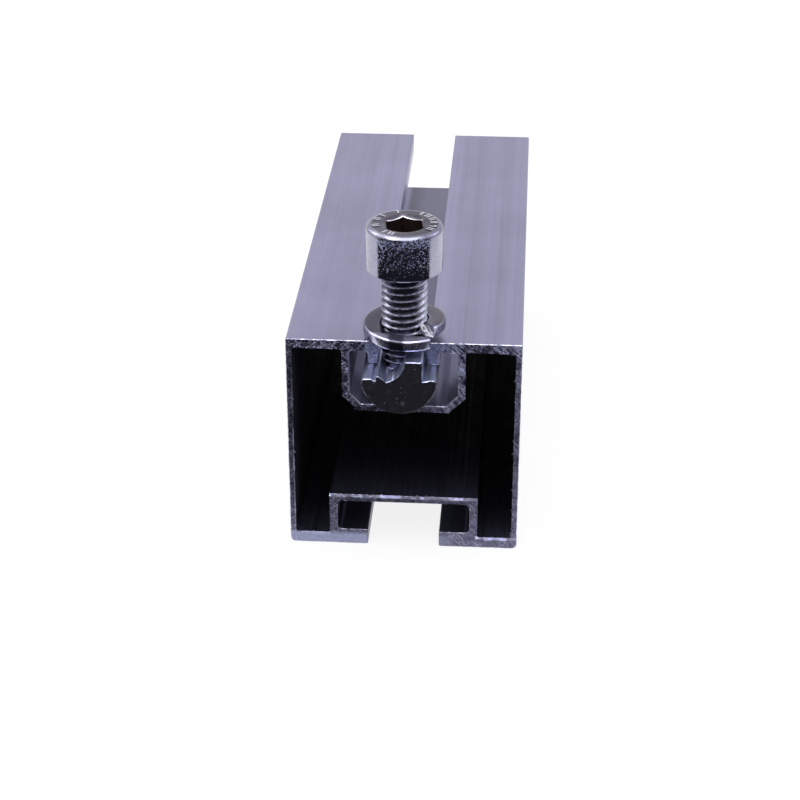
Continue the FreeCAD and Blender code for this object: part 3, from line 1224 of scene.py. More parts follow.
@dataclass(frozen=True)
class HollowAluminium(Finish):
    """Matt wall inside the closed hollow, painted near black as shade."""

    light: Colour = (0.024, 0.025, 0.042)
    roughness: Span = (0.7, 0.9)
    metallic: float = 0.0
    specular: float = 0.1
    seed: float = 21.0
    lines: Pattern = Pattern(1.2, 4.0, 0.6)
    stains: Pattern = Pattern(0.25, 4.0, 0.6, 1)
    stretch: Triple = (1.0, 0.02, 1.0)
    line_depth: float = 0.01
    depth_fade: Fade = ((38.0, 49.5), (0.1, 1.0))
    crown_top: float = 10.0
    crown_fade: Fade = ((0.1, 0.4), (0.45, 1.0))

    def dress(self, skin: Skin) -> Look:
        """Streak the wall faintly, and paint shade on it, darker deeper inside and along the crown's edge.

        Args:
            skin: Nodes of the finish.

        Returns:
            The finish's look.
        """
        lines, stains = skin.texture(self.lines, skin.place.stretch(self.stretch)), skin.texture(self.stains)
        crown = abs(skin.axes[2] - self.crown_top).rescale(*self.crown_fade)
        # Painted shade, darker deeper inside the rail and along the crown's edge.
        tone = (lines + stains).rescale((0.7, 1.3)) * (skin.lengthways.rescale(*self.depth_fade) * crown)
        colour = skin.blend(tone, self.colour, self.light)
        return Look(colour, stains.rescale((0.3, 0.7), self.roughness), [(lines, self.line_depth)])


@dataclass(frozen=True)
class CutAluminium(Finish):
    """Smooth dark end face of the slot nut, or its broken edge with a painted highlight above and painted shade
    below.
    """

    light: Colour = (0.24, 0.24, 0.28)
    speck: Colour = (0.8, 0.8, 0.9)
    roughness: Span = (0.26, 0.36)
    seed: float = 31.0
    grain: Pattern = Pattern(6.0, 4.0, 0.65)
    arcs: Pattern = Pattern(1.4, 3.0, 0.6, 1)
    stretch: Triple = (0.25, 1.0, 3.0)
    specks: Pattern = Pattern(3.4, 0.0, 0.5, 2, (0.79, 0.81))
    depths: Triple = (0.003, 0.002, 0.03)
    shaded_below: Span = (0.0, 0.1)
    contrast: float = 1.0
    pit_place: Span = (0.21, 31.23)
    pit_radius: float = 0.24
    pit_span: Span = (0.16, 0.06)
    pit_ahead: float = -50.0

    def dress(self, skin: Skin) -> Look:
        """Add a fine grain, a few bright specks and one small pit.

        Args:
            skin: Nodes of the finish.

        Returns:
            The finish's look.
        """
        across, along, up = skin.axes
        grain, arcs = skin.texture(self.grain), skin.texture(self.arcs, skin.place.stretch(self.stretch))
        half = 0.3 / self.contrast
        # Painted shade below the span of shaded_below; the light tone of the nut's edge is a painted highlight.
        tone = (grain + arcs).rescale((1.0 - half, 1.0 + half)) * up.rescale(self.shaded_below)
        far = skin.root(across - self.pit_place[0], up - self.pit_place[1])
        pit = abs(far - self.pit_radius).rescale(self.pit_span) * (along < self.pit_ahead)
        specks = skin.marks(self.specks) | pit
        look = Look(
            skin.blend(tone, self.colour, self.light),
            grain.rescale((0.3, 0.7), self.roughness),
            list(zip((arcs, grain, specks), self.depths)),
        )
        look.tint(specks, self.speck)
        return look


@dataclass(frozen=True)
class FormedSteel(Finish):
    """Cold-formed stainless steel with a pebbled skin."""

    light: Colour = (0.5, 0.49, 0.54)
    roughness: Span = (0.16, 0.3)
    seed: float = 41.0
    pebbles: Pattern = Pattern(3.0, 2.5, 0.6)
    cloud: Pattern = Pattern(0.4, 3.0, 0.5, 1)
    grain: Pattern = Pattern(12.0, 2.0, 0.5, 2)
    cell_scale: float = 3.6
    pebble_depth: float = 0.018
    right_fade: Fade = ((-4.0, 4.0), (0.0, 0.0))
    right_shade: Colour = (0.03, 0.028, 0.034)

    def dress(self, skin: Skin) -> Look:
        """Pebble the skin and tint it, with painted shade towards the right where right_fade asks for it.

        Args:
            skin: Nodes of the finish.

        Returns:
            The finish's look.
        """
        pebbles, cloud, grain = (skin.texture(pattern) for pattern in (self.pebbles, self.cloud, self.grain))
        layers = ((pebbles, 1.0), (skin.cells(self.cell_scale), 0.6), (grain, 0.1))
        look = Look(
            skin.blend((pebbles + cloud).rescale((0.75, 1.25)), self.colour, self.light),
            (cloud + grain).rescale((0.7, 1.3), self.roughness),
            [(height, self.pebble_depth * share) for height, share in layers],
        )
        # Painted shade, darker towards the right.
        if any(self.right_fade[1]):
            look.tint(skin.axes[0].rescale(*self.right_fade), self.right_shade)
        return look


@dataclass(frozen=True)
class SpeckledSteel(FormedSteel):
    """The head's side: blue-white worm marks in its middle, raised and painted bright as highlights, dark pits at
    its flanks, painted shade at its rim.
    """

    speck: Colour = (0.68, 0.72, 1.0)
    rim_shade: Colour = (0.13, 0.135, 0.2)
    pit_shade: Colour = (0.08, 0.08, 0.12)
    speck_blur: float = 0.85
    worms: Pattern = Pattern(4.6, 1.0, 0.5, 3)
    breaks: Pattern = Pattern(3.68, 2.0, 0.6, 4)
    pits: Pattern = Pattern(4.6, 1.0, 0.5, 6, (0.7, 0.74))
    break_span: Span = (0.49, 0.56)
    worm_width: Span = (0.07, 0.03)
    foot_fade: Fade = ((52.8, 55.4), (-0.15, -0.015))
    rim_span: Span = (58.3, 59.8)
    rim_crowding: float = 0.12
    rim_widening: float = 0.03
    top_fade: Fade = ((-0.5, 2.5), (59.8, 60.35))
    top_blur: Span = (0.2, -0.2)
    middle_fade: Fade = ((5.0, 4.4), (0.12, 1.0))
    flank_span: Span = (4.4, 5.0)
    shade_span: Span = (59.7, 59.95)
    shade_fades: tuple[Fade, ...] = (
        ((-1.2, -0.2), (0.0, 0.4)), ((2.6, 3.6), (0.0, 0.35)), ((-4.4, -5.2), (0.0, 0.6)),
    )

    def dress(self, skin: Skin) -> Look:
        """Speckle the skin with painted highlights, pit it, and paint shade at its rim.

        Args:
            skin: Nodes of the finish.

        Returns:
            The finish's look.
        """
        look = super().dress(skin)
        across, _, up = skin.axes
        rim = up.rescale(self.rim_span)
        crowding = up.rescale(*self.foot_fade) + rim * self.rim_crowding
        width, core = self.worm_width
        worms = abs(skin.texture(self.worms) - 0.5).rescale((rim * self.rim_widening + width, core))
        spots = worms * (skin.texture(self.breaks) + crowding).rescale(self.break_span)
        belt = (up - across.rescale(*self.top_fade)).rescale(self.top_blur)
        specks = spots * (belt * skin.sideways.rescale(*self.middle_fade))
        shade = reduce(Value.__add__, [across.rescale(*fade) for fade in self.shade_fades])
        # The worm marks are raised and painted bright as highlights, fewer towards the foot; the rim takes painted
        # shade except left of its middle.
        look.tint(specks, self.speck)
        look.tint(shade * up.rescale(self.shade_span), self.rim_shade)
        look.tint(skin.marks(self.pits) * skin.sideways.rescale(self.flank_span), self.pit_shade)
        look.roughness |= specks * self.speck_blur
        look.layers.append((spots, self.pebble_depth))
        return look


@dataclass(frozen=True)
class BrinkSteel(FormedSteel):
    """Bright edge of the socket and of the raised marks, with painted shade where the socket's rim turns from the
    light.
    """

    brink_shade: Colour = (0.03, 0.03, 0.04)
    brink_share: float = 0.9
    brink_top: float = 60.45
    left_span: Span = (-2.7, -3.1)
    middle_fade: Fade = ((0.2, 1.0), (0.0, 0.6))
    right_span: Span = (2.3, 2.9)

    def dress(self, skin: Skin) -> Look:
        """Paint shade on parts of the socket's rim.

        Args:
            skin: Nodes of the finish.

        Returns:
            The finish's look.
        """
        look = super().dress(skin)
        across, _, up = skin.axes
        sides = across.rescale(self.right_span) | across.rescale(self.left_span)
        brink = (sides | across.rescale(*self.middle_fade)) * (up < self.brink_top)
        look.tint(brink * self.brink_share, self.brink_shade)
        return look


@dataclass(frozen=True)
class TurnedSteel(Finish):
    """Rolled thread or bar: fine lines round the Z axis through the screw."""

    light: Colour = (0.55, 0.54, 0.62)
    roughness: Span = (0.18, 0.34)
    seed: float = 51.0
    lines: Pattern = Pattern(8.0, 3.0, 0.6)
    mottle: Pattern = Pattern(1.5, 4.0, 0.65, 1)
    grain: Pattern = Pattern(8.0, 2.0, 0.5, 2)
    relief_depth: float = 0.004

    def dress(self, skin: Skin) -> Look:
        """Run fine lines round the axis and mottle the surface.

        Args:
            skin: Nodes of the finish.

        Returns:
            The finish's look.
        """
        lines = skin.texture(self.lines, skin.joined(skin.radius, 0.0, skin.axes[2]))
        mottle, grain = skin.texture(self.mottle), skin.texture(self.grain)
        colour = skin.blend((lines + mottle).rescale((0.7, 1.3)), self.colour, self.light)
        shine = mottle.rescale((0.3, 0.7), self.roughness)
        depth = self.relief_depth
        return Look(colour, shine, [(mottle, depth), (lines, depth / 4), (grain, depth / 7)])


@dataclass(frozen=True)
class RolledSteel(TurnedSteel):
    """Thread with painted highlights on its crests, and painted shade in its roots and on its left."""

    crest_highlight: Colour = (0.86, 0.87, 1.0)
    root_shade: Colour = (0.02, 0.02, 0.025)
    left_shade: Colour = (0.05, 0.05, 0.07)
    crest_span: Span = (3.82, 3.93)
    crest_mottle: Fade = ((0.42, 0.56), (0.4, 1.0))
    crest_blur: float = 0.45
    root_fade: Fade = ((3.28, 3.7), (0.6, 0.0))
    left_fade: Fade = ((-1.4, -3.2), (0.0, 0.5))

    def dress(self, skin: Skin) -> Look:
        """Paint shade on the left side and in the roots, and highlights on the crests.

        Args:
            skin: Nodes of the finish.

        Returns:
            The finish's look.
        """
        look = super().dress(skin)
        crest = skin.radius.rescale(self.crest_span) * skin.texture(self.mottle).rescale(*self.crest_mottle)
        # Painted shade on the left and in the roots, and painted highlights on the crests.
        look.tint(skin.axes[0].rescale(*self.left_fade), self.left_shade)
        look.tint(skin.radius.rescale(*self.root_fade), self.root_shade)
        look.tint(crest, self.crest_highlight)
        look.roughness += crest * self.crest_blur
        return look


@dataclass(frozen=True)
class SpringSteel(TurnedSteel):
    """Rolled bar of the washer, with painted light on its front, broken by one spot of painted shade."""

    front_light: Colour = (0.5, 0.5, 0.6)
    front_span: Span = (-51.2, -52.6)
    front_blur: float = 0.0
    streak_gap_shade: Colour = (0.07, 0.07, 0.1)
    streak_gap_place: float = -1.0
    streak_gap_span: Span = (1.7, 0.9)
    streak_gap_share: float = 0.92

    def dress(self, skin: Skin) -> Look:
        """Paint light on the front, and one spot of painted shade in it.

        Args:
            skin: Nodes of the finish.

        Returns:
            The finish's look.
        """
        look = super().dress(skin)
        across, along, _ = skin.axes
        front = along.rescale(self.front_span)
        streak_gap = front * abs(across - self.streak_gap_place).rescale(self.streak_gap_span, smooth=True)
        # Painted light on the front, and a spot of painted shade that breaks its streak.
        look.tint(front, self.front_light)
        look.tint(streak_gap * self.streak_gap_share, self.streak_gap_shade)
        if self.front_blur:
            look.roughness += front * self.front_blur
        return look


@dataclass(frozen=True)
class TornSteel(Finish):
    """Broken steel: bumped facets in streaks, their bright and dark tones painted light and shade."""

    light: Colour = (0.93, 0.92, 1.0)
    roughness: Span = (0.25, 0.75)
    seed: float = 81.0
    streaks: Pattern = Pattern(1.0, 1.0, 0.5)
    crumbs: Pattern = Pattern(3.5, 2.0, 0.6, 1)
    streak_axis: Triple = (0.6, 0.8, 0.0)
    streak_angle: float = 55.0
    streak_stretch: Triple = (1.4, 1.4, 0.4)
    tone_span: Span = (0.42, 0.5)
    facet_depth: float = 0.16

    def dress(self, skin: Skin) -> Look:
        """Break the face into bumped facets, with painted light and shade on them.

        Args:
            skin: Nodes of the finish.

        Returns:
            The finish's look.
        """
        tilted = skin.place.turned(self.streak_axis, math.radians(self.streak_angle)).stretch(self.streak_stretch)
        streaks, crumbs = skin.texture(self.streaks, tilted), skin.texture(self.crumbs)
        # The bright and dark tones stand for lit and shaded facets.
        tone = (streaks * 0.75 + crumbs * 0.25).rescale(self.tone_span)
        return Look(
            skin.blend(tone, self.colour, self.light),
            tone.rescale((0.0, 1.0), self.roughness),
            [(streaks, self.facet_depth), (crumbs, self.facet_depth / 4)],
        )


# Rail -----------------------------------------------------


@dataclass
class Rail:
    """Extruded rail with two sawn ends."""

    length: float = 100.0
    width: float = 40.0
    height: float = 40.0
    side_wall: float = 1.0
    top_wall: float = 1.7
    bottom_wall: float = 2.1
    top_radius: float = 0.3
    foot_radius: float = 0.9
    hollow_radius: float = 0.3
    slot_half: float = 4.4
    lip_wall: float = 1.65
    lip_depth: float = 4.2
    lip_radius: float = 0.4
    channel_roof: float = 1.95
    channel_half: float = 9.25
    channel_depth: float = 12.0
    channel_bevel: float = 2.0
    channel_wall: float = 1.25
    channel_radius: float = 0.4
    foot_slot_half: float = 6.25
    foot_lip_height: float = 2.9
    foot_lip_radius: float = 0.3
    foot_channel_half: float = 11.6
    foot_channel_top: float = 8.6
    foot_channel_wall: float = 1.4
    foot_channel_radius: float = 0.9
    outline_step: float = 0.24
    face_spacing: float = 0.2
    arris: float = 0.11
    arris_wobble: float = 0.06
    burr_wobble: float = 0.11
    burr_share: float = 0.03
    burr_reach: float = 0.3
    rim_share: float = 0.4
    marked_share: float = 0.3
    groove_span: Span = (0.35, 0.68)
    pit_span: Span = (0.52, 0.7)
    flatness: float = 0.99
    sharp_angle: float = 28.0
    seed: int = 7

    def outline(self) -> np.ndarray:
        """Outline that runs into both channels.

        Returns:
            Points across and up.
        """
        side = self.width / 2
        floor = self.height - self.channel_depth
        ceiling = self.height - self.channel_roof
        lip_outside = self.slot_half + self.lip_wall
        lip_foot = self.height - self.lip_depth
        right = [
            (self.foot_slot_half, 0, self.foot_lip_radius),
            (side, 0, self.foot_radius),
            (side, self.height, self.top_radius),
            (self.slot_half, self.height, 0),
            (self.slot_half, lip_foot, self.lip_radius),
            (lip_outside, lip_foot, self.lip_radius),
            (lip_outside, ceiling, self.channel_radius),
            (self.channel_half, ceiling, self.channel_radius),
            (self.channel_half, floor + self.channel_bevel, self.channel_radius),
            (self.channel_half - self.channel_bevel, floor, self.channel_radius),
        ]
        left = [(-across, up, radius) for across, up, radius in reversed(right)]
        low, high = self.foot_lip_height, self.foot_channel_top
        outer, round_off = self.foot_channel_half, self.foot_channel_radius
        channel = [
            (-self.foot_slot_half, low, self.foot_lip_radius),
            (-outer, low, round_off),
            (-outer, high, round_off),
            (outer, high, round_off),
            (outer, low, round_off),
            (self.foot_slot_half, low, self.foot_lip_radius),
        ]
        return rounded_loop(right + left + channel, self.outline_step)

    def hollow(self) -> np.ndarray:
        """Outline of the closed hollow.

        Returns:
            Points across and up.
        """
        crown = self.foot_channel_top + self.foot_channel_wall
        leg = self.foot_channel_half + self.foot_channel_wall
        side = self.width / 2 - self.side_wall
        ceiling = self.height - self.top_wall
        outside = self.channel_half + self.channel_wall
        base = self.height - self.channel_depth - self.channel_wall
        bevel = self.channel_bevel + self.channel_wall * (2 - math.sqrt(2))
        right = [
            (leg, crown),
            (leg, self.bottom_wall),
            (side, self.bottom_wall),
            (side, ceiling),
            (outside, ceiling),
            (outside, base + bevel),
            (outside - bevel, base),
        ]
        corners = right + [(-across, up) for across, up in reversed(right)]
        return rounded_loop([(across, up, self.hollow_radius) for across, up in corners], self.outline_step)

    def rim(self, loop: np.ndarray, inward: float) -> np.ndarray:
        """Ragged rim of a sawn end.

        Args:
            loop: Outline across and up.
            inward: Mean distance to the metal's side.

        Returns:
            The rim across and up.
        """
        random = np.random.default_rng(self.seed)
        if inward > 0:
            shift = inward + random.uniform(-self.arris_wobble, self.arris_wobble, len(loop))
        else:
            wobble = random.uniform(-self.burr_wobble, self.burr_wobble, len(loop))
            shift = inward / 4 + wobble + (random.random(len(loop)) < self.burr_share) * self.burr_reach
        return shifted_loop(loop, shift[:, None])

    def shell(self) -> Mesh:
        """Build the rail with flat ends.

        Returns:
            A mesh in millimetres, with the share of saw marks that each vertex takes.
        """
        shell = Shell()
        ends = (-self.length / 2, self.length / 2)
        rims = []
        for loop, inward, rim_kind, kind in (
            (self.outline(), self.arris, RailFace.DRAWN, RailFace.DRAWN),
            (self.hollow(), -self.arris, RailFace.SAWN, RailFace.HOLLOW),
        ):
            rims.append(self.rim(loop, inward))
            shell.extrude(loop, rims[-1], ends, self.arris, (rim_kind, kind, rim_kind))
        shell.cap(rims, self.face_spacing, self.seed, ends, RailFace.SAWN)
        mesh = shell.mesh("rail_shell")
        with opened(mesh) as work:
            share = work.verts.layers.float.new("sawn")
            for vertex in work.verts:
                if abs(vertex.co.y) > self.length / 2 - MERGE_DISTANCE:
                    flat = all(abs(face.normal.y) > self.flatness for face in vertex.link_faces)
                    vertex[share] = 1.0 if flat else self.rim_share
        return mesh

    def sawn_tree(self, sawn: Material) -> GeometryTree:
        """Tree that cuts saw grooves and torn pits into both ends.

        Args:
            sawn: Material of the sawn faces.

        Returns:
            The tree.
        """
        inputs = {
            "Groove Depth": 0.10,
            "Groove Width": 0.35,
            "Groove Length": 3.5,
            "Groove Angle": math.radians(40.0),
            "Pit Depth": 0.12,
            "Pit Size": 0.55,
            "Seed": 3.0,
            "Sawn Finish": sawn,
        }
        tree = GeometryTree("sawn_ends", inputs, takes_mesh=True)
        given = tree.given
        place = tree.put("GeometryNodeInputPosition")
        share = tree.attribute("sawn")
        along = place.parts()[1]
        across, _, up = place.turned((0.0, 1.0, 0.0), given("Groove Angle")).parts()
        grooved = tree.joined(across / given("Groove Width"), 0.0, up / given("Groove Length"))
        grooves = tree.noise(grooved, 1.0, detail=3.0, rough=0.6, seed=given("Seed"))
        pits = tree.noise(place, 1.0 / given("Pit Size"), detail=3.0, rough=0.6, seed=given("Seed"))
        deep = grooves.rescale(self.groove_span) * given("Groove Depth")
        torn = pits.rescale(self.pit_span) * given("Pit Depth")
        shift = (deep + torn) * share * tree.math("SIGN", along) * -1.0
        cut = tree.moved(given("Geometry"), Selection=share > 0.0, Offset=tree.joined(0.0, shift, 0.0))
        tree.finish(cut, "Sawn Finish", share > self.marked_share)
        return tree

    def build(self) -> Piece:
        """Build and dress the rail.

        Returns:
            The piece.
        """
        drawn = RailAluminium("drawn_aluminium", (0.21, 0.205, 0.295), light=(0.33, 0.322, 0.46)).material()
        # The hollow's near-black finish is painted shade.
        hollow = HollowAluminium("hollow_aluminium", (0.0025, 0.0025, 0.006)).material()
        sawn = SawnAluminium("sawn_aluminium", (0.055, 0.051, 0.085)).material()
        shell = self.shell()
        coat(shell, (drawn, hollow, sawn))
        mesh = self.sawn_tree(sawn).run(shell)
        return make_piece(mesh, "rail", Body.RAIL, Slot.RAIL, (drawn, hollow, sawn), self.sharp_angle)


# Thread ---------------------------------------------------


@dataclass
class Thread:
    """Right-handed screw thread round a vertical axis."""

    foot: float
    top: float
    crest: float = 3.9
    root: float = 3.24
    foot_radius: float = 3.0
    top_radius: float = 3.9
    pitch: float = 1.25
    steps: int = 96
    samples: int = 10
    start_angle: float = 98.0
    run_out: float = 0.9

    def tree(self, metal: Material) -> GeometryTree:
        """Tree that winds the thread's profile up the screw.

        Args:
            metal: Material of the thread.

        Returns:
            The tree.
        """
        inputs = {
            "Runs": math.ceil(((self.top - self.foot) / self.pitch + 1) * self.steps),
            "Runs a Turn": float(self.steps),
            "Samples": self.samples,
            "Pitch": self.pitch,
            "Crest Radius": self.crest,
            "Root Radius": self.root,
            "Foot": self.foot,
            "Top": self.top,
            "Foot Radius": self.foot_radius,
            "Top Radius": self.top_radius,
            "Run-out": self.run_out,
            "Start Angle": math.radians(self.start_angle),
            "Metal": metal,
        }
        tree = GeometryTree("wound_thread", inputs)
        given = tree.given
        size = {0: 1.0, 1: 1.0, "Vertices X": given("Runs") + 1.0, "Vertices Y": given("Samples") + 1.0}
        grid = tree.put("GeometryNodeMeshGrid", size)
        across, along, _ = tree.put("GeometryNodeInputPosition").parts()
        turns = (across + 0.5) * (given("Runs") / given("Runs a Turn"))
        share = along + 0.5
        wound = given("Foot") + (turns + share + -1.0) * given("Pitch")
        height = tree.math("MINIMUM", wound | given("Foot"), given("Top"))
        from_crest = abs(share - 0.5) * 2.0
        depth = given("Crest Radius") - given("Root Radius")
        radius = given("Root Radius") + from_crest.rescale((0.15, 0.85), (1.0, 0.0)) * depth
        tip = given("Foot Radius") + (height - given("Foot"))
        radius = tree.math("MINIMUM", radius, tip)
        fade = height.rescale((given("Top") - given("Run-out"), given("Top")), smooth=True)
        radius += (given("Top Radius") - radius) * fade
        place = tree.wheeled(radius, given("Start Angle") + turns * FULL_TURN, height)
        inputs = {"Geometry": tree.moved(grid, Position=place), "Distance": MERGE_DISTANCE}
        tree.finish(tree.put("GeometryNodeMergeByDistance", inputs), "Metal")
        return tree

    def ring(self, radius: float | np.ndarray, height: float | np.ndarray) -> np.ndarray:
        """Ring of points at the thread's own angles.

        Args:
            radius: Radius, the same all round or for each point.
            height: Height, the same all round or for each point.

        Returns:
            Points round the axis.
        """
        angles = math.radians(self.start_angle) + np.arange(self.steps) * FULL_TURN / self.steps
        heights = np.broadcast_to(height, angles.shape)
        return np.stack([radius * np.cos(angles), radius * np.sin(angles), heights], axis=1)

    def wound(self, metal: Material) -> Mesh:
        """Mesh in millimetres round the Z axis, open at both ends."""
        return self.tree(metal).run()


# Cap screw ------------------------------------------------


@dataclass
class CapScrew:
    """Socket-head cap screw with a rolled thread."""

    tip: float = SCREW_TIP
    length: float = 24.6
    shank_radius: float = 3.9
    neck_radius: float = 0.35
    head_radius: float = 6.4
    head_height: float = 8.0
    edge_radius: float = 0.85
    foot_bevel: float = 0.2
    flats: float = 6.0
    socket_depth: float = 4.0
    mouth_radius: float = 3.75
    mouth_slope: float = 0.5
    brink_radius: float = 0.12
    corner_angle: float = 98.0
    arc_steps: int = 7
    side_rings: int = 24
    crown_rings: int = 8
    mark_height: float = 0.12
    mark_length: float = 1.2
    mark_width: float = 0.27
    mark_radius: float = 4.85
    mark_gap: float = 1.1
    short_bar: float = 0.4
    short_shift: float = 0.32
    sharp_angle: float = 32.0
    mark_groups: tuple[tuple[float, float, int, int], ...] = (
        (-27.0, 17.0, 6, 2), (143.0, 20.0, 2, 5), (195.0, 20.0, 1, 3), (231.0, 16.0, 2, 9), (107.0, 20.0, 1, 12),
    )

    def hexagon(self, steps: int, start_angle: float) -> np.ndarray:
        """Radius of the socket's hexagon at the angles of the rings.

        Args:
            steps: Points in a ring.
            start_angle: Angle of the first point, in degrees.

        Returns:
            Radii.
        """
        angles = start_angle + np.arange(steps) * 360 / steps - self.corner_angle
        from_flat = np.radians(np.mod(angles, 60) - 30)
        return self.flats / 2 / np.cos(from_flat)

    def head_rings(self, thread: Thread) -> tuple[list[np.ndarray], list[int]]:
        """Rings of the head from the neck to the socket's foot.

        Args:
            thread: Thread that the head stands on.

        Returns:
            Rings, and the finish of the band after each but the last.
        """
        seat = self.tip + self.length
        top = seat + self.head_height - self.mark_height
        rings: list[np.ndarray] = []
        kinds: list[int] = []

        def add(radius: float | np.ndarray, height: float | np.ndarray, kind: int) -> None:
            """Add a ring and the finish of the band above it."""
            rings.append(thread.ring(radius, height))
            kinds.append(kind)

        for turn in np.linspace(0, math.pi / 2, self.arc_steps):
            radius = self.shank_radius + self.neck_radius * (1 - math.cos(turn))
            add(radius, seat - self.neck_radius * (1 - math.sin(turn)), ScrewFace.THREAD)
        kinds[-1] = ScrewFace.SIDE
        add(self.head_radius - self.foot_bevel, seat, ScrewFace.SIDE)
        for share in np.linspace(0, 1, self.side_rings):
            low = seat + self.foot_bevel
            add(self.head_radius, low + (top - self.edge_radius - low) * share, ScrewFace.SIDE)
        for turn in np.linspace(0, math.pi / 2, self.arc_steps)[1:]:
            radius = self.head_radius - self.edge_radius * (1 - math.cos(turn))
            add(radius, top - self.edge_radius * (1 - math.sin(turn)), ScrewFace.SIDE)
        kinds[-1] = ScrewFace.CROWN
        crown = self.head_radius - self.edge_radius
        for share in np.linspace(0, 1, self.crown_rings)[1:]:
            add(crown + (self.mouth_radius - crown) * share, top, ScrewFace.CROWN)
        wall = self.hexagon(thread.steps, thread.start_angle)
        brink = top - (self.mouth_radius - wall) * self.mouth_slope
        foot = seat + self.head_height - self.socket_depth
        add(wall + self.brink_radius, brink, ScrewFace.MARK)
        add(wall, brink - self.brink_radius, ScrewFace.SOCKET)
        add(wall, foot, ScrewFace.SOCKET)
        add(self.flats / 2, foot, ScrewFace.SOCKET)
        return rings, kinds

    def marks_tree(self, metal: Material, first: float, step: float, count: int, seed: int) -> GeometryTree:
        """Tree that sets raised plain marks round the crown.

        Args:
            metal: Material of the marks.
            first: Angle of the first mark, in degrees.
            step: Angle from mark to mark, in degrees.
            count: Marks.
            seed: Seed of their choice.

        Returns:
            The tree.
        """
        inputs = {
            "Count": count,
            "First Angle": math.radians(first),
            "Step": math.radians(step),
            "Ring Radius": self.mark_radius,
            "Length": self.mark_length,
            "Width": self.mark_width,
            "Height": self.mark_height * 2,
            "Top": self.tip + self.length + self.head_height - self.mark_height,
            "Seed": seed,
            "Metal": metal,
        }
        tree = GeometryTree("raised_marks", inputs)
        given = tree.given
        angle = given("First Angle") + tree.put("GeometryNodeInputIndex") * given("Step")
        place = tree.wheeled(given("Ring Radius"), angle, given("Top"))
        points = tree.put("GeometryNodePoints", {"Count": given("Count"), "Position": place})
        gap = given("Width") * self.mark_gap

        def bar(share: float, along: Number, across: Number) -> Value:
            """Make one bar of a mark.

            Args:
                share: Share of the full length.
                along: Shift along the bar.
                across: Shift across the bar.

            Returns:
                The bar.
            """
            length = given("Length") if share == 1.0 else given("Length") * share
            size = tree.joined(length, given("Width"), given("Height"))
            shape = tree.put("GeometryNodeMeshCube", {"Size": size})
            shift = tree.joined(along, across, 0.0)
            return tree.put("GeometryNodeTransform", {"Geometry": shape, "Translation": shift})

        marks = (
            (bar(1.0, 0.0, gap), bar(1.0, 0.0, gap * -1.0)),
            (bar(1.0, 0.0, 0.0),),
            (bar(self.short_bar, given("Length") * self.short_shift, 0.0), bar(1.0, 0.0, gap * -1.0)),
        )
        single = [tree.put("GeometryNodeGeometryToInstance", {0: tree.gathered(*mark)}) for mark in marks]
        pick = tree.add("FunctionNodeRandomValue", {"Seed": given("Seed")}, data_type="INT")
        whole = {socket.name: socket for socket in pick.inputs if socket.type == "INT"}
        whole["Min"].default_value, whole["Max"].default_value = 0, len(marks) - 1
        chosen = next(socket for socket in pick.outputs if socket.type == "INT")
        inputs = {
            "Points": points,
            "Instance": tree.gathered(*single),
            "Pick Instance": True,
            "Instance Index": Value(tree, chosen),
            "Rotation": tree.joined(0.0, 0.0, angle),
        }
        tree.finish(tree.put("GeometryNodeInstanceOnPoints", inputs), "Metal")
        return tree

    def build(self) -> Piece:
        """Build and dress the screw.

        Returns:
            The piece.
        """
        side = SpeckledSteel(
            "pebbled_steel", (0.32, 0.315, 0.4), light=(0.41, 0.405, 0.51), roughness=(0.07, 0.13),
            pebble_depth=0.007,
        ).material()
        # The crown takes painted shade towards its right.
        crown = FormedSteel(
            "satin_steel", (0.075, 0.067, 0.09), light=(0.14, 0.128, 0.164), roughness=(0.26, 0.36),
            pebble_depth=0.006, right_fade=((-4.0, 4.0), (0.0, 0.5)),
        ).material()
        rolled = RolledSteel(
            "rolled_steel", (0.36, 0.357, 0.45), light=(0.56, 0.56, 0.7), roughness=(0.14, 0.26), edge_tint=0.3,
            relief_depth=0.016,
        ).material()
        socket = FormedSteel(
            "socket_steel", (0.09, 0.065, 0.06), light=(0.19, 0.14, 0.13), roughness=(0.3, 0.45),
            pebble_depth=0.004,
        ).material()
        bright = BrinkSteel(
            "bright_steel", (0.55, 0.54, 0.6), light=(0.72, 0.71, 0.78), roughness=(0.2, 0.3), pebble_depth=0.003
        ).material()
        seat = self.tip + self.length
        thread = Thread(self.tip, seat - self.neck_radius, top_radius=self.shank_radius)
        shell = Shell()
        shell.take(thread.wound(rolled), ScrewFace.THREAD)
        shell.close(thread.ring(thread.foot_radius, self.tip), self.tip, ScrewFace.THREAD)
        rings, kinds = self.head_rings(thread)
        shell.bands(rings, kinds)
        foot = seat + self.head_height - self.socket_depth
        shell.close(rings[-1], foot - self.flats / 2 / math.sqrt(3), ScrewFace.SOCKET)
        marks = Shell()
        for group in self.mark_groups:
            marks.take(self.marks_tree(bright, *group).run(), ScrewFace.MARK)
        mesh = shell.mesh("cap_screw")
        with opened(mesh) as work:
            work.from_mesh(marks.mesh("head_marks"))
        mesh.transform(Matrix.Translation((0.0, SCREW_PLACE, 0.0)))
        finishes = (side, crown, rolled, socket, bright)
        return make_piece(mesh, "cap_screw", Body.SCREW, Slot.SCREW, finishes, self.sharp_angle)


# Slot nut -------------------------------------------------


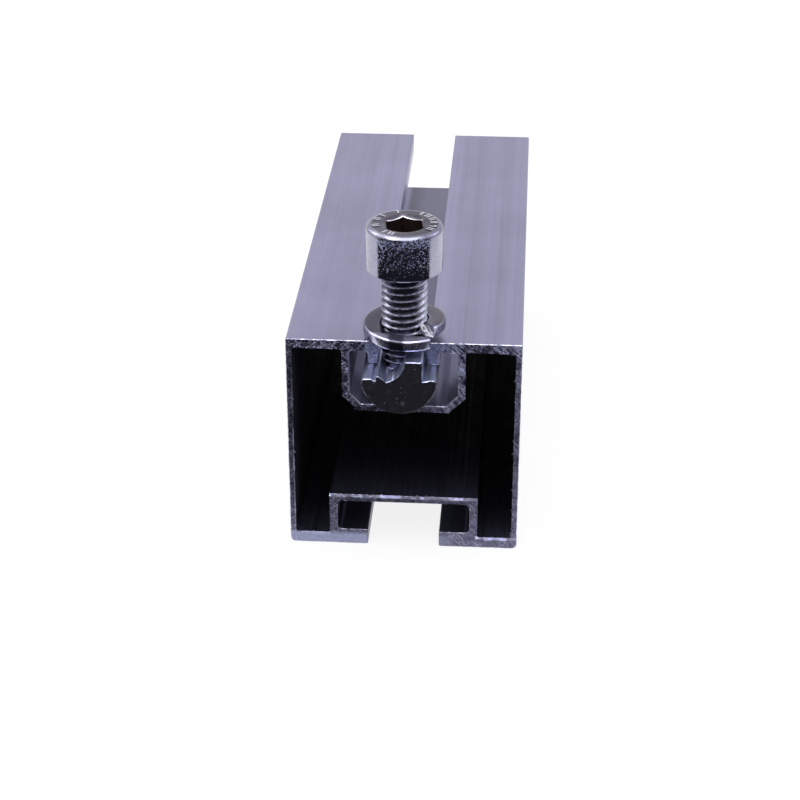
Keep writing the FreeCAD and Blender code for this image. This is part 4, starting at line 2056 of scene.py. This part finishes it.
@dataclass
class ChannelNut:
    """Extruded slot nut with a tapped hole."""

    seat: float = 35.7
    length: float = 16.0
    radius: float = 6.37
    shift: float = 0.4
    corner_radius: float = 0.6
    land_right: float = 4.75
    neck_left: float = 0.5
    neck_right: float = 3.5
    neck_height: float = 3.3
    neck_radius: float = 0.35
    valley_radius: float = 4.1
    valley_place: float = 2.48
    valley_depth: float = 0.5
    hook_left: float = 4.28
    hook_right: float = 3.83
    hook_height: float = 0.55
    hook_radius: float = 0.18
    dip_left: float = 4.7
    dip_depth: float = 0.3
    land_left: float = 5.05
    step: float = 0.3
    edge: float = 0.11
    edge_wobble: float = 0.06
    thread_gap: float = 0.08
    thread_turns: int = 12
    belly_steps: int = 48
    valley_steps: int = 18
    arc_steps: int = 4
    sharp_angle: float = 30.0
    seed: int = 5

    def outline(self) -> np.ndarray:
        """Outline of the nut, counter-clockwise from the left lobe.

        Returns:
            Points across and up, with the seat as zero height.
        """
        belly_ends = (-(self.shift + self.radius), self.radius - self.shift)
        sweep = np.linspace(math.pi, FULL_TURN, self.belly_steps)
        rounded = 1 + int(self.corner_radius / (self.radius * (sweep[1] - sweep[0])))
        sweep = sweep[rounded:-rounded]
        belly = [(self.radius * math.cos(turn) - self.shift, self.radius * math.sin(turn), 0.0) for turn in sweep]
        start = np.array((self.neck_left, self.neck_height))
        end = np.array((-self.valley_place, -self.valley_depth))
        way = end - start
        half = float(np.linalg.norm(way)) / 2
        right = np.array((way[1], -way[0])) / (2 * half)
        centre = (start + end) / 2 + right * math.sqrt(self.valley_radius**2 - half**2)
        turns = [math.atan2(*(point - centre)[::-1]) for point in (start, end)]
        turns[1] += FULL_TURN if turns[1] - turns[0] > math.pi else 0.0
        turns[1] -= FULL_TURN if turns[1] - turns[0] > math.pi else 0.0
        valley = [
            (centre[0] + self.valley_radius * math.cos(turn), centre[1] + self.valley_radius * math.sin(turn), 0.0)
            for turn in np.linspace(turns[0], turns[1], self.valley_steps)[1:-1]
        ]
        corners = [
            (belly_ends[0], 0.0, self.corner_radius),
            *belly,
            (belly_ends[1], 0.0, self.corner_radius),
            (self.land_right, 0.0, 0.0),
            (self.neck_right, -self.dip_depth, 0.0),
            (self.neck_right, self.neck_height, self.neck_radius),
            (self.neck_left, self.neck_height, self.neck_radius),
            *valley,
            (-self.valley_place, -self.valley_depth, 0.0),
            (-self.hook_right, self.hook_height, self.hook_radius),
            (-self.hook_left, self.hook_height, self.hook_radius),
            (-self.hook_left, -self.dip_depth, 0.0),
            (-self.dip_left, -self.dip_depth, 0.0),
            (-self.land_left, 0.0, 0.0),
        ]
        return rounded_loop(corners, self.step, self.arc_steps)

    def body(self) -> Mesh:
        """Extruded nut with its end edges broken.

        Returns:
            A mesh in millimetres, without its hole.
        """
        loop = self.outline()
        wobble = np.random.default_rng(self.seed).uniform(-self.edge_wobble, self.edge_wobble, len(loop))
        inset = shifted_loop(loop, (self.edge + wobble)[:, None])
        ends = (SCREW_PLACE - self.length / 2, SCREW_PLACE + self.length / 2)
        shell = Shell()
        shell.extrude(loop, inset, ends, self.edge, (NutFace.ARRIS, NutFace.DRAWN, NutFace.ARRIS), self.seat)
        shell.cap([inset], self.step * 2, self.seed, ends, NutFace.CUT, self.seat)
        return shell.mesh("nut_body")

    def tapped(self, mesh: Mesh, thread: Thread, metal: Material) -> Mesh:
        """Cut the screw's thread out of the nut.

        Args:
            mesh: The nut without its hole.
            thread: Thread to cut, wider than the screw's by the clearance.
            metal: Material of the cut faces.

        Returns:
            The nut with its hole.
        """
        cutter = Shell()
        cutter.take(thread.wound(metal), NutFace.DRAWN)
        for radius, height in ((thread.foot_radius, thread.foot), (thread.top_radius, thread.top)):
            cutter.close(thread.ring(radius, height), height, NutFace.DRAWN)
        tool = set_out("tap", cutter.mesh("tap"))
        tool.data.transform(Matrix.Translation((0.0, SCREW_PLACE, 0.0)))
        blank = set_out("nut_blank", mesh)
        cut = blank.modifiers.new("tapped_hole", "BOOLEAN")
        cut.operation = "DIFFERENCE"
        cut.solver = "EXACT"
        cut.object = tool
        result = used_up(blank)
        bpy.data.objects.remove(tool)
        return result

    def build(self) -> Piece:
        """Build and dress the nut.

        Returns:
            The piece.
        """
        drawn = DrawnAluminium(
            "nut_drawn_aluminium", (0.24, 0.27, 0.4), light=(0.68, 0.73, 0.92), roughness=(0.32, 0.48), seed=61.0
        ).material()
        cut = CutAluminium("nut_cut_aluminium", (0.29, 0.284, 0.325), light=(0.4, 0.394, 0.47)).material()
        # The nut's broken edges take a painted highlight above and painted shade below.
        arris = CutAluminium(
            "nut_arris_aluminium", (0.16, 0.165, 0.22), light=(0.56, 0.59, 0.82), shaded_below=(34.2, 35.3),
            contrast=3.0, seed=35.0,
        ).material()
        foot, root, pitch = SCREW_TIP - Thread.pitch, Thread.root, Thread.pitch
        top = foot + (self.thread_turns + 1) * pitch
        gap = self.thread_gap
        thread = Thread(foot, top, Thread.crest + gap, root + gap, root, root, run_out=0.01)
        mesh = self.body()
        coat(mesh, (drawn, cut, arris))
        mesh = self.tapped(mesh, thread, drawn)
        return make_piece(mesh, "channel_nut", Body.NUT, Slot.NUT, (drawn, cut, arris), self.sharp_angle)


# Spring washer --------------------------------------------


@dataclass
class LockWasher:
    """Split spring washer, one left-hand turn of flat bar with torn ends."""

    foot: float = 40.05
    inner_radius: float = 4.05
    bar_width: float = 2.9
    thickness: float = 2.0
    rise: float = 1.95
    turn: float = 354.0
    low_end: float = -48.0
    edge_radius: float = 0.48
    segments: int = 240
    tear: float = 0.25
    torn_high: Span = (0.985, 1.0)
    torn_low: Span = (0.012, 0.0)
    end_share: float = 0.999
    end_lean: float = 0.55
    flat_slope: float = 0.9
    sharp_angle: float = 40.0
    tongue: tuple[Triple, ...] = (
        (2.0, 1.5, 1.5), (-3.0, 0.95, 1.45), (-7.0, 0.55, 1.35), (-10.0, 0.2, 1.1),
    )
    tongue_rise: float = 0.4
    tongue_gap: float = 0.08
    tongue_step: float = 0.12
    tongue_lean: float = 0.25
    tongue_inset: float = 0.1
    tongue_taper: float = 0.85
    tongue_belly: float = 0.35

    def tree(self, metal: Material) -> GeometryTree:
        """Tree that winds the bar and tears its ends.

        Args:
            metal: Material of the bar.

        Returns:
            The tree.
        """
        inputs = {
            "Segments": self.segments,
            "Middle Radius": self.inner_radius + self.bar_width / 2,
            "Bar Width": self.bar_width,
            "Thickness": self.thickness,
            "Edge Radius": self.edge_radius,
            "Rise": self.rise,
            "Turn": math.radians(self.turn),
            "Low End": math.radians(self.low_end),
            "Foot": self.foot,
            "Tear": self.tear,
            "End Lean": self.end_lean,
            "Seed": 4.0,
            "Metal": metal,
        }
        tree = GeometryTree("wound_bar", inputs)
        given = tree.given
        line = tree.put("GeometryNodeCurvePrimitiveLine")
        fine = tree.put("GeometryNodeResampleCurve", {"Curve": line, "Count": given("Segments")})
        share = tree.put("GeometryNodeSplineParameter", result="Factor")
        angle = given("Low End") - share * given("Turn")
        height = given("Foot") + given("Thickness") * 0.5 + share * given("Rise")
        wound = tree.moved(fine, Position=tree.wheeled(given("Middle Radius"), angle, height))
        level = tree.put("GeometryNodeSetCurveNormal", {"Curve": wound}, mode="Z_UP")
        stored = tree.put(
            "GeometryNodeStoreNamedAttribute", {"Geometry": level, "Name": "share", "Value": share},
            data_type="FLOAT", domain="POINT",
        )
        size = {"Width": given("Bar Width"), "Height": given("Thickness")}
        bar = tree.put("GeometryNodeCurvePrimitiveQuadrilateral", size)
        rounding = {"Curve": bar, "Count": 4, "Radius": given("Edge Radius")}
        rounded = tree.put("GeometryNodeFilletCurve", rounding, mode="POLY")
        sweep = {"Curve": stored, "Profile Curve": rounded, "Fill Caps": True}
        swept = tree.put("GeometryNodeCurveToMesh", sweep)
        spot = tree.put("GeometryNodeInputPosition")
        kept = tree.attribute("share")
        near_end = kept.rescale(self.torn_high, smooth=True) | kept.rescale(self.torn_low, smooth=True)
        cloud = {"Vector": spot, "W": given("Seed"), "Scale": 1.3, "Detail": 3.0, "Roughness": 0.6}
        rags = tree.put("ShaderNodeTexNoise", cloud, 1, noise_dimensions="4D")
        centred = tree.put("ShaderNodeVectorMath", {0: rags, 1: (0.5, 0.5, 0.5)}, operation="SUBTRACT")
        reach = near_end * given("Tear") * 2.0
        shift = tree.put("ShaderNodeVectorMath", {0: centred, "Scale": reach}, operation="SCALE")
        torn = tree.moved(swept, Offset=shift)
        from_foot = spot.parts()[2] - (given("Foot") + given("Rise"))
        back = from_foot * given("End Lean") * (kept > self.end_share)
        high_end = given("Low End") - given("Turn")
        leant = tree.joined(back * tree.math("SINE", high_end) * -1.0, back * tree.math("COSINE", high_end), 0.0)
        tree.finish(tree.moved(torn, Offset=leant), "Metal")
        return tree

    def tongue_rings(self) -> list[np.ndarray]:
        """Torn tongue that hangs from the high end towards the thread.

        Returns:
            Rings of four points, from the bar to the tip.
        """
        foot = self.foot + self.rise + self.tongue_rise
        rings = []
        for number, (turn, width, height) in enumerate(self.tongue):
            angle = math.radians(self.low_end - self.turn + turn)
            inside = self.inner_radius + self.tongue_gap + self.tongue_step * number
            lean = self.tongue_lean * (number % 2)
            corners = (
                (inside, foot + lean / 2),
                (inside + width, foot + lean),
                (inside + width * self.tongue_taper, foot + height * self.tongue_belly - lean / 2),
                (inside + self.tongue_inset + lean / 2, foot + height),
            )
            rings.append(np.array([(r * math.cos(angle), r * math.sin(angle), z) for r, z in corners]))
        return rings

    def build(self) -> Piece:
        """Build and dress the washer.

        Returns:
            The piece.
        """
        side = SpringSteel(
            "spring_steel", (0.1, 0.098, 0.14), light=(0.2, 0.198, 0.28), roughness=(0.18, 0.36),
            front_light=(0.74, 0.73, 0.97), seed=71.0,
        ).material()
        # The top faces take a darker copy of the side's steel as painted shade, with less painted light in front.
        top = SpringSteel(
            "spring_flat_steel", (0.055, 0.049, 0.073), light=(0.09, 0.08, 0.115), roughness=(0.14, 0.24),
            front_light=(0.3, 0.3, 0.4), front_span=(-51.6, -52.2), front_blur=0.35, seed=74.0,
        ).material()
        torn_steel = TornSteel("torn_steel", (0.2, 0.2, 0.28)).material()
        shell = Shell()
        shell.take(self.tree(side).run(), WasherFace.SIDE)
        torn = self.tongue_rings()
        shell.bands(torn, [WasherFace.TORN] * (len(torn) - 1))
        for end in (torn[0], torn[-1]):
            shell.extend(end.tolist(), [(0, 1, 2, 3)], WasherFace.TORN)
        mesh = shell.mesh("lock_washer")
        for polygon in mesh.polygons:
            if len(polygon.vertices) > 4:
                polygon.material_index = WasherFace.TORN
            elif polygon.material_index == WasherFace.SIDE and polygon.normal.z > self.flat_slope:
                polygon.material_index = WasherFace.TOP
        mesh.transform(Matrix.Translation((0.0, SCREW_PLACE, 0.0)))
        return make_piece(mesh, "lock_washer", Body.WASHER, Slot.WASHER, (side, top, torn_steel), self.sharp_angle)


# Studio ---------------------------------------------------


@dataclass
class Studio:
    """Floor, light and camera."""

    camera_place: Triple = (0.01962945, -0.34695331, 0.18631827)
    camera_turn: tuple[float, float, float, float] = (0.856033036, 0.515802079, 0.017520667, 0.029132149)
    lens: float = 88.927
    target: Triple = (0.0, -0.045, 0.045)
    clip: Span = (0.01, 10.0)
    floor_size: float = 3.0
    floor_height: float = -0.0001
    floor_colour: Colour = (0.85, 0.85, 0.86)
    card_colour: Colour = (0.012, 0.012, 0.015)
    card_roughness: float = 0.9
    sky_dark: Colour = (0.035, 0.035, 0.045)
    sky_light: Colour = (1.0, 1.0, 1.05)
    sky_span: Span = (-0.5, 0.35)
    sky_tilt: float = 0.6
    flag_start: float = -0.065
    flag_depth: float = 0.9
    whiteness: float = 0.86
    whitening: Span = (0.3, 1.0)
    lamps: tuple[tuple[str, Triple, float, float], ...] = (
        ("key_light", (-0.05, -0.23, 0.56), 0.8, 5.0),
        ("side_light", (-0.5, 0.25, 0.35), 0.35, 0.8),
        ("fill_light", (0.5, 0.2, 0.3), 0.35, 0.7),
    )

    @staticmethod
    def seen_by(skin: Skin, *rays: str) -> Value:
        """One for rays of the named kinds, else zero."""
        path = skin.add("ShaderNodeLightPath")
        return reduce(Value.__or__, [Value(skin, path.outputs[f"Is {ray} Ray"]) for ray in rays])

    def sheet(self, name: str, low: Vector, high: Vector, material: Material) -> Piece:
        """Flat rectangle on the stage.

        Args:
            name: Name of the object.
            low: Corner with the least coordinates.
            high: Corner with the greatest coordinates.
            material: Its material.

        Returns:
            The object.
        """
        mesh = bpy.data.meshes.new(name)
        corners = [(low.x, low.y, low.z), (high.x, low.y, low.z), (high.x, high.y, low.z), (low.x, high.y, low.z)]
        mesh.from_pydata(corners, [], [(0, 1, 2, 3)])
        mesh.materials.append(material)
        item = set_out(name, mesh)
        return item

    def floor(self) -> None:
        """Pale floor that the camera sees as white, and a dark card before the object that only metal sees."""
        pale = bpy.data.materials.new("pale_floor")
        pale.use_nodes = True
        pale.node_tree.nodes.clear()
        skin = Skin(pale.node_tree)
        lit = skin.put("ShaderNodeBsdfDiffuse", {"Color": (*self.floor_colour, 1.0)})
        white = skin.put("ShaderNodeEmission", {"Color": (1.0, 1.0, 1.0, 1.0), "Strength": 1.0})
        across, along, _ = skin.put("ShaderNodeTexCoord", result="Object").parts()
        whiter = skin.root(across, along).rescale(self.whitening, (self.whiteness, 1.0))
        share = self.seen_by(skin, "Camera", "Glossy", "Transmission") * whiter
        mixed = skin.put("ShaderNodeMixShader", {0: share, 1: lit, 2: white})
        skin.add("ShaderNodeOutputMaterial", {"Surface": mixed})
        half, level = self.floor_size / 2, self.floor_height
        self.sheet("floor", Vector((-half, -half, level)), Vector((half, half, level)), pale)
        dark = bpy.data.materials.new("dark_card")
        dark.use_nodes = True
        shader = dark.node_tree.nodes["Principled BSDF"].inputs
        shader["Base Color"].default_value = (*self.card_colour, 1.0)
        shader["Roughness"].default_value = self.card_roughness
        shader["Specular IOR Level"].default_value = 0.0
        near, far = self.flag_start - self.flag_depth, self.flag_start
        card = self.sheet("dark_card", Vector((-half, near, 0.0)), Vector((half, far, 0.0)), dark)
        card.visible_camera = card.visible_shadow = card.visible_diffuse = False

    def world(self) -> None:
        """White to the camera, and a soft sky that is darker before the object to all else."""
        world = bpy.data.worlds.new("studio")
        bpy.context.scene.world = world
        world.use_nodes = True
        world.node_tree.nodes.clear()
        skin = Skin(world.node_tree)
        _, ahead, up = skin.put("ShaderNodeTexCoord", result="Generated").parts()
        back = (ahead + up * self.sky_tilt).rescale(self.sky_span, smooth=True)
        sky = skin.blend(back, self.sky_dark, self.sky_light)
        colour = skin.blend(self.seen_by(skin, "Camera", "Transmission"), sky, (1.0, 1.0, 1.0))
        shine = skin.put("ShaderNodeBackground", {"Color": colour, "Strength": 1.0})
        skin.add("ShaderNodeOutputWorld", {"Surface": shine})

    @staticmethod
    def aim(item: Piece, place: Sequence[float], turn: Quaternion) -> None:
        """Set an object's place and turn.

        Args:
            item: The object.
            place: Its place in metres.
            turn: Its turn.
        """
        item.location = place
        item.rotation_mode = "QUATERNION"
        item.rotation_quaternion = turn

    def lamp(self, name: str, way: Vector, size: float, power: float) -> None:
        """Square soft light that faces the object.

        Args:
            name: Name of the light.
            way: Way from the object to it.
            size: Its side.
            power: Its power in watts.
        """
        light = bpy.data.lights.new(name, "AREA")
        light.shape = "SQUARE"
        light.size = size
        light.energy = power
        target = Vector(self.target)
        place = target + way
        self.aim(set_out(name, light), place, (target - place).to_track_quat("-Z", "Y"))

    def build(self) -> None:
        """Set up the studio."""
        self.floor()
        self.world()
        for name, way, size, power in self.lamps:
            self.lamp(name, Vector(way), size, power)
        camera = set_out("camera", bpy.data.cameras.new("camera"))
        camera.data.lens = self.lens
        camera.data.clip_start, camera.data.clip_end = self.clip
        self.aim(camera, self.camera_place, Quaternion(self.camera_turn))
        bpy.context.scene.camera = camera
        bpy.context.scene.view_settings.view_transform = "Standard"


def main() -> None:
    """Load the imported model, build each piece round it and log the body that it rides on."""
    logging.basicConfig(level=logging.INFO, format="%(name)s: %(message)s")
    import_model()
    for maker in (Rail(), ChannelNut(), LockWasher(), CapScrew()):
        piece = maker.build()
        LOG.info("%s rides on %s", piece.name, body_of(piece))
    Studio().build()


if __name__ == "__main__":
    main()
